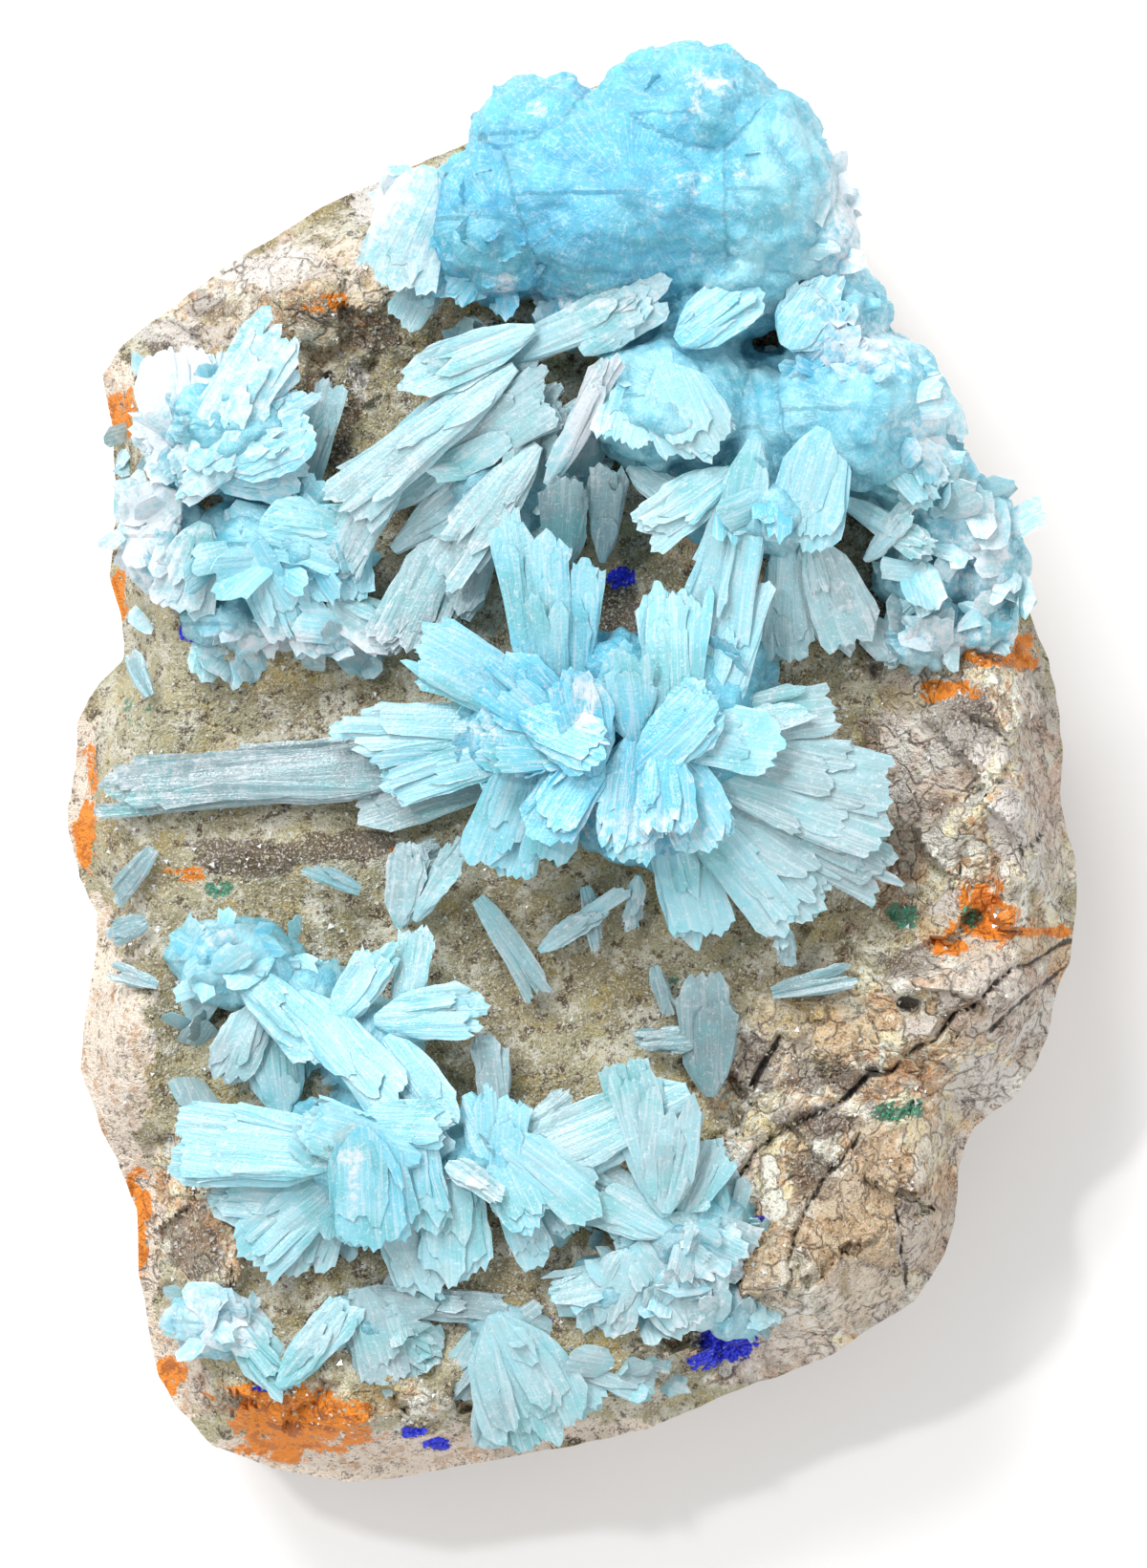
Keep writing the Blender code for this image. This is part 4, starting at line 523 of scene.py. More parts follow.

# Colour and strength of each kind of rock, and of each stain over it; the dark one is partly dark brown rock, partly
# painted shade in holes and in hollows beside the crystals.
ROCK_TONES = {
    "tan": (TAN, 0.65), "grey": (GREY_MAUVE, 0.6), "rind": (RIND_CREAM, 0.92), "white": (ROCK_WHITE, 0.9),
    "yellow": (YELLOW_OCHRE, 0.6), "dark": (DARK_BROWN, 0.8),
}
STAIN_TONES = {"rust": (RUST, 0.95), "malachite": (MALACHITE_GREEN, 0.85), "azurite": (AZURITE_BLUE, 0.95)}

# How aragonite bends light, how the rock and its grains do, and how light scatters inside the granular masses.
ARAGONITE_IOR = 1.6
ROCK_IOR = 1.55
MASS_SCATTER = {"Subsurface Weight": 0.35, "Subsurface Radius": (0.9, 1.0, 1.0), "Subsurface Scale": 0.0016}

# Copper grains: colour of the lighter ones, roughness, and largest radius in millimetres.
COPPER_GRAINS = {"azurite": (AZURITE_LIGHT, 0.35, 0.22), "malachite": (MALACHITE_LIGHT, 0.5, 0.14)}

# Millimetres over which a crack's shade fades, number of facets of the broken face, width of its fragments in
# millimetres, and number of quartz points tried on the floor.
CRACK_FADE = 1.0
BREAK_FACETS = 240
FRAGMENT = 1.6
QUARTZ_POINTS = 15000
# Radius of a quartz point, how far out they go as a share of the way to the rim, and the share kept on broken rock.
QUARTZ_RADIUS = (0.07, 0.17)
QUARTZ_EXTENT = 0.94
QUARTZ_ON_BREAK = 0.3


def linear(code):
    """A colour from its sRGB hex code to the linear values that a shader takes."""
    parts = [int(code[i:i + 2], 16) / 255.0 for i in (0, 2, 4)]
    return (*[c / 12.92 if c <= 0.04045 else ((c + 0.055) / 1.055) ** 2.4 for c in parts], 1.0)


def node(tree, kind, settings=None, **links):
    """Adds a shader node, sets its properties, and links or sets its inputs by name or number."""
    made = tree.nodes.new(kind)
    for key, value in (settings or {}).items():
        setattr(made, key, value)
    for key, value in links.items():
        by_number = key[0] == "i" and key[1:].isdigit()
        target = made.inputs[int(key[1:]) if by_number else key.replace("_", " ")]
        if isinstance(value, bpy.types.NodeSocket):
            tree.links.new(value, target)
        else:
            target.default_value = value
    return made


def mix_colour(tree, share, first, second):
    """The first colour, turned into the second by a share from 0 to 1."""
    return node(tree, "ShaderNodeMix", {"data_type": "RGBA"}, i0=share, i6=first, i7=second).outputs[2]


def band(tree, value, low, high, start=0.0, end=1.0):
    """A value mapped smoothly from low..high to start..end."""
    made = node(
        tree, "ShaderNodeMapRange", {"interpolation_type": "SMOOTHSTEP"},
        Value=value, From_Min=low, From_Max=high, To_Min=start, To_Max=end,
    )
    return made.outputs[0]


def coat(tree, colour, value, low, high, over, strength=1.0):
    """A colour with another, as hex or as channels, laid over it where a value runs from low to high."""
    shade = linear(over) if isinstance(over, str) else over
    return mix_colour(tree, band(tree, value, low, high, 0.0, strength), colour, shade)


def maths(tree, operation, first, second=0.0):
    """One sum of two values."""
    return node(tree, "ShaderNodeMath", {"operation": operation}, i0=first, i1=second).outputs[0]


def plus(tree, first, second, share):
    """The first value plus a share of the second."""
    return maths(tree, "ADD", first, maths(tree, "MULTIPLY", second, share))


def attribute(tree, name):
    """A value that the mesh holds at each vertex."""
    return node(tree, "ShaderNodeAttribute", {"attribute_name": name}).outputs["Fac"]


def noise_at(tree, vector, size_mm, detail=3.0, roughness=0.55, name="Fac"):
    """A noise whose blotches are about size_mm across."""
    made = node(
        tree, "ShaderNodeTexNoise", None,
        Vector=vector, Scale=1000.0 / size_mm, Detail=detail, Roughness=roughness,
    )
    return made.outputs[name]


def new_material(name):
    """A material with its node tree and its shader."""
    material = bpy.data.materials.new(name)
    material.use_nodes = True
    tree = material.node_tree
    return material, tree, tree.nodes["Principled BSDF"]


def set_inputs(shader, values):
    """Sets a shader's inputs by name."""
    for name, value in values.items():
        shader.inputs[name].default_value = value


def gained(tree, colour, gain):
    """A colour made brighter, channel by channel, and kept below white."""
    kept = {"blend_type": "MULTIPLY", "use_clamp": True}
    return node(tree, "ShaderNodeMixRGB", kept, Fac=1.0, Color1=colour, Color2=(*gain, 1.0)).outputs[0]


def crystal_material(name, settings, transmission, roughness, grains=0.0):
    """Aragonite: milky to clear blue blades, striated along their length, frosted white in places, with painted
    highlight on the blades' edges and tips and painted glints on them.
    """
    material, tree, shader = new_material(name)
    place = node(tree, "ShaderNodeTexCoord").outputs["Object"]
    grain = node(tree, "ShaderNodeAttribute", {"attribute_name": "grain"}).outputs["Vector"]
    cloud = maths(tree, "SUBTRACT", noise_at(tree, place, 1.8, 3.0, 0.65), 0.5)
    tint = plus(tree, attribute(tree, "tint"), cloud, 0.55)
    ramp = node(tree, "ShaderNodeValToRGB", None, Fac=tint)
    stops = ramp.color_ramp.elements
    stops[0].position, stops[0].color = 0.05, settings.grey_colour
    stops[1].position, stops[1].color = 1.0, settings.deep_colour
    middle = ((0.28, settings.pale_colour), (0.5, settings.aqua_colour), (0.76, settings.sky_colour))
    for position, shade in middle:
        stops.new(position).color = shade
    colour = ramp.outputs[0]
    deep = noise_at(tree, place, 3.6, 2.0, 0.6)
    colour = coat(tree, colour, deep, 0.5, 0.66, TEAL, 0.6)
    if grains:
        colour = mix_colour(tree, band(tree, cloud, -0.1, 0.1, 0.25, 0.65), colour, linear(MASS_BLUE))
    # Fine lines along each blade, 0.1 mm apart, that read as growth striation.
    lines = node(tree, "ShaderNodeTexNoise", None, Vector=grain, Scale=1.0, Detail=2.0, Roughness=0.65).outputs["Fac"]
    colour = coat(tree, colour, lines, 0.52, 0.62, settings.frost_and_highlight_colour, 0.15 if grains else 0.36)
    colour = coat(tree, colour, lines, 0.48, 0.3, SHADE_TEAL, 0.25)
    # White frosted patches, which read as bruised or finely crystalline aragonite, and painted highlight along the
    # blades' edges and tips.
    speck = noise_at(tree, place, 0.5, 3.0, 0.75)
    frosted = plus(tree, speck, attribute(tree, "frost"), 0.36)
    colour = coat(tree, colour, frosted, 0.6, 0.95, settings.frost_and_highlight_colour, 0.9)
    # Sugary white points on the lumps, and on the blades a few white specks that are painted glints.
    sugar = noise_at(tree, place, 0.24, 2.0, 0.8)
    low, high, strength = (0.5, 0.7, grains) if grains else (0.6, 0.66, 0.55)
    colour = coat(tree, colour, sugar, low, high, settings.frost_and_highlight_colour, strength)
    tree.links.new(colour, shader.inputs["Base Color"])
    fine = noise_at(tree, place, 0.18, 2.0, 0.7)
    height = plus(tree, maths(tree, "MULTIPLY", lines, 0.7), fine, 0.6 + grains)
    bump = node(tree, "ShaderNodeBump", None, Height=height, Strength=0.9, Distance=0.00009)
    tree.links.new(bump.outputs[0], shader.inputs["Normal"])
    set_inputs(shader, {"Roughness": roughness, "IOR": ARAGONITE_IOR, "Transmission Weight": transmission})
    if grains:
        set_inputs(shader, MASS_SCATTER)
    return material


def rock_material(settings):
    """Host rock: olive druse floor, mottled grey and tan breaks, cream rind, rust, copper stains, and painted shade in
    its cracks, seams, pits, holes and hollows.
    """
    material, tree, shader = new_material("weathered host rock")
    place = node(tree, "ShaderNodeTexCoord").outputs["Object"]
    broad = noise_at(tree, place, 6.0, 2.0, 0.6)
    blotch = noise_at(tree, place, 1.8, 4.0, 0.65)
    mid = noise_at(tree, place, 0.75, 4.0, 0.7)
    fine = noise_at(tree, place, 0.28, 3.0, 0.75)
    speck = noise_at(tree, place, 0.13, 2.0, 0.6)
    warm = noise_at(tree, place, 2.6, 3.0, 0.7)
    ragged = maths(tree, "SUBTRACT", maths(tree, "MULTIPLY", maths(tree, "ADD", blotch, mid), 1.5), 1.5)
    # Angular fragments, each with its own tone, and painted shade in the seams between them.
    bend = noise_at(tree, place, 1.1, 1.0, 0.6, "Color")
    bend = node(tree, "ShaderNodeMixRGB", {"blend_type": "ADD"}, Fac=FRAGMENT * MM, Color1=place, Color2=bend)
    bent = bend.outputs[0]
    scraps, seams = (
        node(tree, "ShaderNodeTexVoronoi", {"feature": feature}, Vector=bent, Scale=1.0 / (FRAGMENT * MM))
        for feature in ("F1", "DISTANCE_TO_EDGE")
    )
    scrap, seam = scraps.outputs["Color"], seams.outputs["Distance"]
    floor = coat(tree, settings.floor_colour, broad, 0.42, 0.58, DRUSE_OLIVE)
    floor = coat(tree, floor, blotch, 0.48, 0.6, DRUSE_LIGHT, 0.9)
    # Painted shade where the floor's relief is low.
    floor = coat(tree, floor, mid, 0.46, 0.36, DRUSE_HOLLOW_SHADE, 0.85)
    floor = coat(tree, floor, warm, 0.52, 0.64, YELLOW_OCHRE, 0.45)
    # Freshly broken rock: pale, grey-pink and brown fragments with finer grains in them.
    broken = coat(tree, settings.broken_colour, scrap, 0.3, 0.55, BREAK_BEIGE)
    broken = coat(tree, broken, scrap, 0.62, 0.72, BREAK_PALE, 0.9)
    broken = coat(tree, broken, mid, 0.5, 0.56, BREAK_PALE, 0.8)
    broken = coat(tree, broken, warm, 0.53, 0.62, WARM_BROWN, 0.7)
    floor = gained(tree, floor, FLOOR_GAIN)
    broken = gained(tree, broken, BREAK_GAIN)
    broken = coat(tree, broken, blotch, 0.44, 0.37, DARK_BROWN, 0.6)
    rough = band(tree, plus(tree, attribute(tree, "broken"), ragged, 0.5), 0.25, 0.7)
    colour = mix_colour(tree, rough, floor, broken)
    chosen = {
        "rind": settings.rind_colour, "rust": settings.rust_colour,
        "azurite": settings.azurite_colour, "malachite": settings.malachite_colour,
    }
    # The dark tone among these is partly painted shade in holes and hollows.
    for kind, (code, strength) in ROCK_TONES.items():
        edge = maths(tree, "ADD", attribute(tree, kind), ragged)
        colour = coat(tree, colour, edge, 0.28, 0.5, chosen.get(kind, code), strength)
    facet = attribute(tree, "facet")
    colour = coat(tree, colour, facet, 0.0, 1.0, BREAK_PALE, 0.45)
    colour = coat(tree, colour, facet, 0.0, -1.0, BREAK_BROWN, 0.45)
    seamed = maths(tree, "MULTIPLY", rough, band(tree, blotch, 0.44, 0.56))
    # Painted shade in the seams between the fragments.
    seam_shade = maths(tree, "MULTIPLY", band(tree, seam, 0.06, 0.01, 0.0, 0.8), seamed)
    colour = mix_colour(tree, seam_shade, colour, linear(DARK_BROWN))
    # Painted shade in the pits, where the relief is low, and dark grains between the pale ones.
    pit_shade_and_grains = plus(tree, mid, maths(tree, "SUBTRACT", fine, 0.5), 0.8)
    colour = coat(tree, colour, pit_shade_and_grains, 0.42, 0.36, DARK_BROWN, 0.65)
    streaks = maths(tree, "MULTIPLY", attribute(tree, "rind"), band(tree, warm, 0.5, 0.58, 0.0, 0.7))
    colour = mix_colour(tree, maths(tree, "MULTIPLY", streaks, band(tree, mid, 0.46, 0.54)), colour, linear(WARM_BROWN))
    # Dark specks and short streaks, which read as iron and manganese grains in the pale rind.
    colour = coat(tree, colour, fine, 0.59, 0.65, RIND_SPECK, 0.7)
    # Sugary pale grains over everything.
    colour = coat(tree, colour, speck, 0.54, 0.62, ROCK_WHITE, 0.6)
    for kind, (code, strength) in STAIN_TONES.items():
        here = attribute(tree, kind)
        edge = plus(tree, here, ragged, 1.4)
        share = maths(tree, "MULTIPLY", band(tree, edge, 0.3, 0.48, 0.0, strength), band(tree, here, 0.08, 0.2))
        colour = mix_colour(tree, share, colour, chosen.get(kind, linear(code)))
    mottle = maths(tree, "MULTIPLY", attribute(tree, "rust"), band(tree, mid, 0.5, 0.57, 0.0, 0.8))
    colour = mix_colour(tree, mottle, colour, linear(RUST_DARK))
    # Painted shade inside the cracks.
    colour = coat(tree, colour, plus(tree, attribute(tree, "crack"), ragged, 0.22), 0.86, 0.95, CRACK_SHADE, 0.9)
    tree.links.new(colour, shader.inputs["Base Color"])
    height = plus(tree, plus(tree, mid, fine, 0.6), speck, 0.25)
    height = plus(tree, height, rough, band(tree, seam, 0.0, 0.1, 0.0, 0.5))
    bump = node(tree, "ShaderNodeBump", None, Height=height, Strength=0.75, Distance=0.0009)
    tree.links.new(bump.outputs[0], shader.inputs["Normal"])
    tree.links.new(band(tree, mid, 0.3, 0.7, 0.85, 0.45), shader.inputs["Roughness"])
    set_inputs(shader, {"IOR": ROCK_IOR})
    return material


def grain_material(name, shades, roughness, transmission):
    """Sparkling grains: each has its own shade between two colours."""
    material, tree, shader = new_material(name)
    tree.links.new(mix_colour(tree, attribute(tree, "shade"), *shades), shader.inputs["Base Color"])
    set_inputs(shader, {"Roughness": roughness, "IOR": ROCK_IOR, "Transmission Weight": transmission})
    return material


class Gather:
    """Collects vertices, faces and values per vertex for one joined mesh, in millimetres."""

    def __init__(self, *values):
        self.points = []
        self.faces = []
        self.values = {name: [] for name in values}
        self.count = 0

    def add(self, points, faces, **values):
        """Adds a shape with its values, one for all its vertices or one each."""
        self.points.append(np.asarray(points, float))
        self.faces.extend([tuple(i + self.count for i in face) for face in faces])
        for name, value in values.items():
            value = np.asarray(value, float)
            if value.ndim == 0:
                value = np.full(len(points), float(value))
            self.values[name].append(value)
        self.count += len(points)

    def build(self, name, material, smooth_angle=None):
        """The gathered shapes as one object."""
        mesh = bpy.data.meshes.new(name)
        points = np.concatenate(self.points) * MM
        mesh.from_pydata(points.tolist(), [], self.faces)
        for key, chunks in self.values.items():
            data = np.concatenate(chunks)
            if data.ndim == 2:
                layer = mesh.attributes.new(key, "FLOAT_VECTOR", "POINT")
                layer.data.foreach_set("vector", data.astype(np.float32).ravel())
            else:
                layer = mesh.attributes.new(key, "FLOAT", "POINT")
                layer.data.foreach_set("value", data.astype(np.float32))
        mesh.materials.append(material)
        mesh.validate()
        if smooth_angle is not None:
            mesh.shade_smooth()
            mesh.set_sharp_from_angle(angle=math.radians(smooth_angle))
        item = bpy.data.objects.new(name, mesh)
        bpy.context.scene.collection.objects.link(item)
        return item


def declare(item, slot, *nodes):
    """Rides a piece on the one body and hides the CAD nodes it stands for; its slot is not used."""
    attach(item, "root")
    if nodes:
        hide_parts(*nodes)
    return item


def rim_table(steps=2880):
    """Distance from the middle to the rock's edge for evenly spaced directions."""
    rim = np.array(ROCK_RIM)
    edge = np.roll(rim, -1, axis=0) - rim
    turns = np.linspace(-math.pi, math.pi, steps, endpoint=False)
    out = np.zeros(steps)
    for index, turn in enumerate(turns):
        ray = np.array((math.cos(turn), math.sin(turn)))
        across = ray[0] * edge[:, 1] - ray[1] * edge[:, 0]
        across[np.abs(across) < 1e-9] = 1e-9
        far = (rim[:, 0] * edge[:, 1] - rim[:, 1] * edge[:, 0]) / across
        share = (rim[:, 0] * ray[1] - rim[:, 1] * ray[0]) / across
        good = (far > 0) & (share >= -1e-6) & (share <= 1 + 1e-6)
        out[index] = far[good].max()
    return turns, out


TURNS, REACH = rim_table()


def rim_radius(angle):
    """Distance from the middle to the rock's edge in a direction."""
    return np.interp(angle, TURNS, REACH, period=2 * math.pi)


def field(points, scale, seed):
    """Smooth noise, -1 to 1, for an array of points in millimetres."""
    shift = Vector((seed * 7.3, seed * 3.1, seed * 11.7))
    return np.array([noise.noise(Vector(p) * scale + shift) for p in points])


def layered(points, layers):
    """Layers of smooth noise added up, each with its height, its waves per millimetre and its seed."""
    return sum(height * field(points, scale, seed) for height, scale, seed in layers)


def smooth_step(low, high, value):
    """A value eased from 0 at low to 1 at high."""
    share = np.clip((value - low) / (high - low), 0.0, 1.0)
    return share * share * (3.0 - 2.0 * share)


def floor_height(x, y):
    """Height of the rock's front face, without its fine relief."""
    share = np.clip(np.hypot(x, y) / rim_radius(np.arctan2(y, x)), 0.0, 1.0)
    height = np.full(x.shape, FLOOR_LEVEL)
    for centre_x, centre_y, radius_x, radius_y, rise in FLOOR_SWELLS:
        height += rise * np.exp(-((x - centre_x) / radius_x) ** 2 - ((y - centre_y) / radius_y) ** 2)
    for rise, waves, level in FLOOR_WAVES:
        flat = np.stack((x * waves, y * waves, np.full(x.shape, level)), axis=1)
        height += rise * np.array([noise.noise(Vector(p)) for p in flat])
    return height - RIM_DROP * smooth_step(RIM_DROP_START, 1.0, share) ** 1.5


def line_distance(x, y, points):
    """Distance from each point to a run of straight lines."""
    best = np.full(x.shape, 1e9)
    for (ax, ay), (bx, by) in zip(points, points[1:]):
        dx, dy = bx - ax, by - ay
        share = np.clip(((x - ax) * dx + (y - ay) * dy) / (dx * dx + dy * dy), 0.0, 1.0)
        best = np.minimum(best, np.hypot(x - ax - share * dx, y - ay - share * dy))
    return best


def patch_masks(x, y):
    """How much of each kind of stain or rock there is at each point, with ragged soft edges."""
    flat = np.stack((x, y, np.zeros(x.shape)), axis=1)
    warp = layered(flat, PATCH_NOISE)
    masks = {kind: np.zeros(x.shape) for kind in KINDS}
    for kind, patches in PATCHES.items():
        bend = warp * (0.3 if kind == "azurite" else 0.8)
        for centre_x, centre_y, radius_x, radius_y, strength in patches:
            off = np.hypot((x - centre_x) / radius_x, (y - centre_y) / radius_y) + bend
            masks[kind] = np.maximum(masks[kind], strength * smooth_step(1.5, 0.4, off))
    return masks


def rock_relief(x, y, masks):
    """Fine relief of the front face, how near a crack each point is, and the shade of its facet."""
    flat = np.stack((x, y, np.zeros(x.shape)), axis=1)
    rough = np.clip(masks["broken"] + masks["white"] + 0.7 * masks["dark"], 0.0, 1.0)
    relief = sum((plain + more * rough) * field(flat, scale, seed) for plain, more, scale, seed in RELIEF_NOISE)
    chance = random.Random(11)
    centres = np.array([(chance.uniform(-26, 27), chance.uniform(-36, 30)) for _ in range(BREAK_FACETS)])
    # Slope in x and in y, height and shade of each facet.
    tilts = np.array([
        (chance.gauss(0, FACET_SLOPE), chance.gauss(0, FACET_SLOPE), chance.gauss(0, FACET_STEP), chance.uniform(-1, 1))
        for _ in range(BREAK_FACETS)
    ])
    wobble_x = x + 0.6 * field(flat, 0.6, 4.0)
    wobble_y = y + 0.6 * field(flat, 0.6, 5.0)
    near = np.argmin((wobble_x[:, None] - centres[:, 0]) ** 2 + (wobble_y[:, None] - centres[:, 1]) ** 2, axis=1)
    plane = tilts[near, 2] + tilts[near, 0] * (x - centres[near, 0]) + tilts[near, 1] * (y - centres[near, 1])
    fresh = smooth_step(0.15, 0.6, masks["broken"])
    relief += np.clip(plane, -FACET_LIMIT, FACET_LIMIT) * fresh
    facet = tilts[near, 3] * fresh
    crack = np.zeros(x.shape)
    jitter = 0.3 * field(flat, 0.9, 6.0)
    for points, half, depth in CRACKS:
        away = line_distance(x + jitter, y + jitter, points)
        relief -= depth * np.exp(-(away / (0.16 + half)) ** 2)
        crack = np.maximum(crack, np.clip(1.0 - (away - half) / CRACK_FADE, 0.0, 1.0))
    return relief, crack, facet


def build_rock(settings):
    """The rock as one closed mesh: a fine grid for the front face, rings for the flanks, a flat back."""
    across, along = settings.cells_across, settings.cells_along
    u, v = np.meshgrid(np.linspace(-1, 1, across + 1), np.linspace(-1, 1, along + 1), indexing="ij")
    u, v = u.ravel(), v.ravel()
    share = np.maximum(np.abs(u), np.abs(v))
    angle = np.arctan2(v * 1.38, u)
    ring = np.stack((np.cos(angle) * 9.0, np.sin(angle) * 9.0, np.zeros(angle.shape)), axis=1)
    reach = share * (rim_radius(angle) + layered(ring, RIM_NOISE) * share ** 4)
    x, y = reach * np.cos(angle), reach * np.sin(angle)
    masks = patch_masks(x, y)
    relief, crack, facet = rock_relief(x, y, masks)
    z = floor_height(x, y) + relief * smooth_step(1.0, 0.93, share)
    index = np.arange((across + 1) * (along + 1)).reshape(across + 1, along + 1)
    quads = np.stack((index[:-1, :-1], index[1:, :-1], index[1:, 1:], index[:-1, 1:]), axis=-1).reshape(-1, 4)
    gather = Gather("crack", "facet", *KINDS)
    gather.add(np.stack((x, y, z), axis=1), quads.tolist(), crack=crack, facet=facet, **masks)
    loop = np.concatenate((index[:, 0], index[-1, 1:], index[-2::-1, -1], index[0, -2:0:-1]))
    loop_angle = angle[loop]
    top = z[loop]
    edge = reach[loop]
    previous = loop
    levels = settings.flank_rings
    for step in range(1, levels + 1):
        down = step / levels
        height = top * (1.0 - down) ** 0.85
        if step == levels:
            height = np.zeros(top.shape)
        bulge = np.interp(height, FLANK_HEIGHTS, FLANK_REACH)
        spot = np.stack((np.cos(loop_angle) * 24, np.sin(loop_angle) * 30, height * 1.6), axis=1)
        rough = layered(spot, FLANK_NOISE)
        fade = min(1.0, step / 4.0) * (0.35 if step == levels else 1.0)
        out = edge * bulge - np.abs(rough) * fade * 1.2
        side = np.stack((out * np.cos(loop_angle), out * np.sin(loop_angle), height), axis=1)
        pale = smooth_step(-0.3, 0.3, field(spot, 0.09, 15.0) - 0.5 * np.cos(loop_angle))
        values = {kind: masks[kind][loop] * max(0.0, 1.0 - 3.0 * down) for kind in KINDS}
        values["rind"] = np.maximum(values["rind"], 0.9 * pale)
        values["grey"] = np.maximum(values["grey"], 0.8 * (1.0 - pale))
        for kind in ("rust", "azurite", "malachite"):
            values[kind] = values[kind] * max(0.0, 1.0 - 12.0 * down)
        values["rust"] = np.maximum(values["rust"], 0.45 * smooth_step(0.2, 0.6, field(spot, 0.25, 16.0)))
        start = gather.count
        values["broken"] = np.maximum(values["broken"], 0.9 * (1.0 - pale))
        gather.add(side, [], crack=0.0, facet=0.0, **values)
        fresh = np.arange(start, start + len(loop))
        rolled_old, rolled_new = np.roll(previous, -1), np.roll(fresh, -1)
        gather.faces.extend(np.stack((previous, rolled_old, rolled_new, fresh), axis=1)[:, ::-1].tolist())
        previous = fresh
    gather.faces.append(previous.tolist())
    return gather


def turned(root, tip, roll=0.0):
    """Axes of a crystal: along it, across it, and up through it, with its length."""
    root, tip = Vector(root), Vector(tip)
    forward = tip - root
    length = forward.length
    forward.normalize()
    side = forward.cross(UP)
    if side.length < 0.05:
        side = forward.cross(Vector((1.0, 0.2, 0.0)))
    side.normalize()
    up = side.cross(forward)
    if roll:
        turn = Matrix.Rotation(roll, 3, forward)
        side, up = turn @ side, turn @ up
    return np.array(forward), np.array(side), np.array(up), length


def ragged_end(chance, across, tip_width, length):
    """How far each column of a petal stops short of its tip: a broken plate, or a few pointed fingers."""
    edges = [0.0]
    while edges[-1] < 1.0:
        edges.append(edges[-1] + chance.uniform(0.5, 1.7) / tip_width)
    if len(edges) > 2 and 1.0 - edges[-2] < 0.35 / tip_width:
        edges.pop(-2)
    edges[-1] = 1.0 + 1e-9
    place = 0.5 * (across + 1.0)
    finger = np.clip(np.searchsorted(edges, place, side="right") - 1, 0, len(edges) - 2)
    edges = np.array(edges)
    inside = 2.0 * (place - edges[finger]) / (edges[finger + 1] - edges[finger]) - 1.0
    count = len(edges) - 1
    pointed = chance.random() < (0.65 if tip_width < 1.7 else 0.3)
    sharp = (0.5 if pointed else 0.07) * min(1.5, 0.3 * length)
    points = np.array([chance.uniform(0.4, 1.3) for _ in range(count)]) * sharp
    slants = np.array([chance.uniform(-0.6, 0.6) for _ in range(count)]) * points
    drops = np.array([chance.uniform(0.0, 0.16 if pointed else 0.035) for _ in range(count)]) * length
    waves = np.zeros(len(across))
    for size, height in ((1.3, 0.2), (0.55, 0.12)):
        waves += height * np.sin(np.pi * place * tip_width / size + chance.uniform(0.0, 6.0))
    short = drops[finger] + points[finger] * np.abs(inside) ** 1.5 - slants[finger] * inside - waves
    return short, finger, count


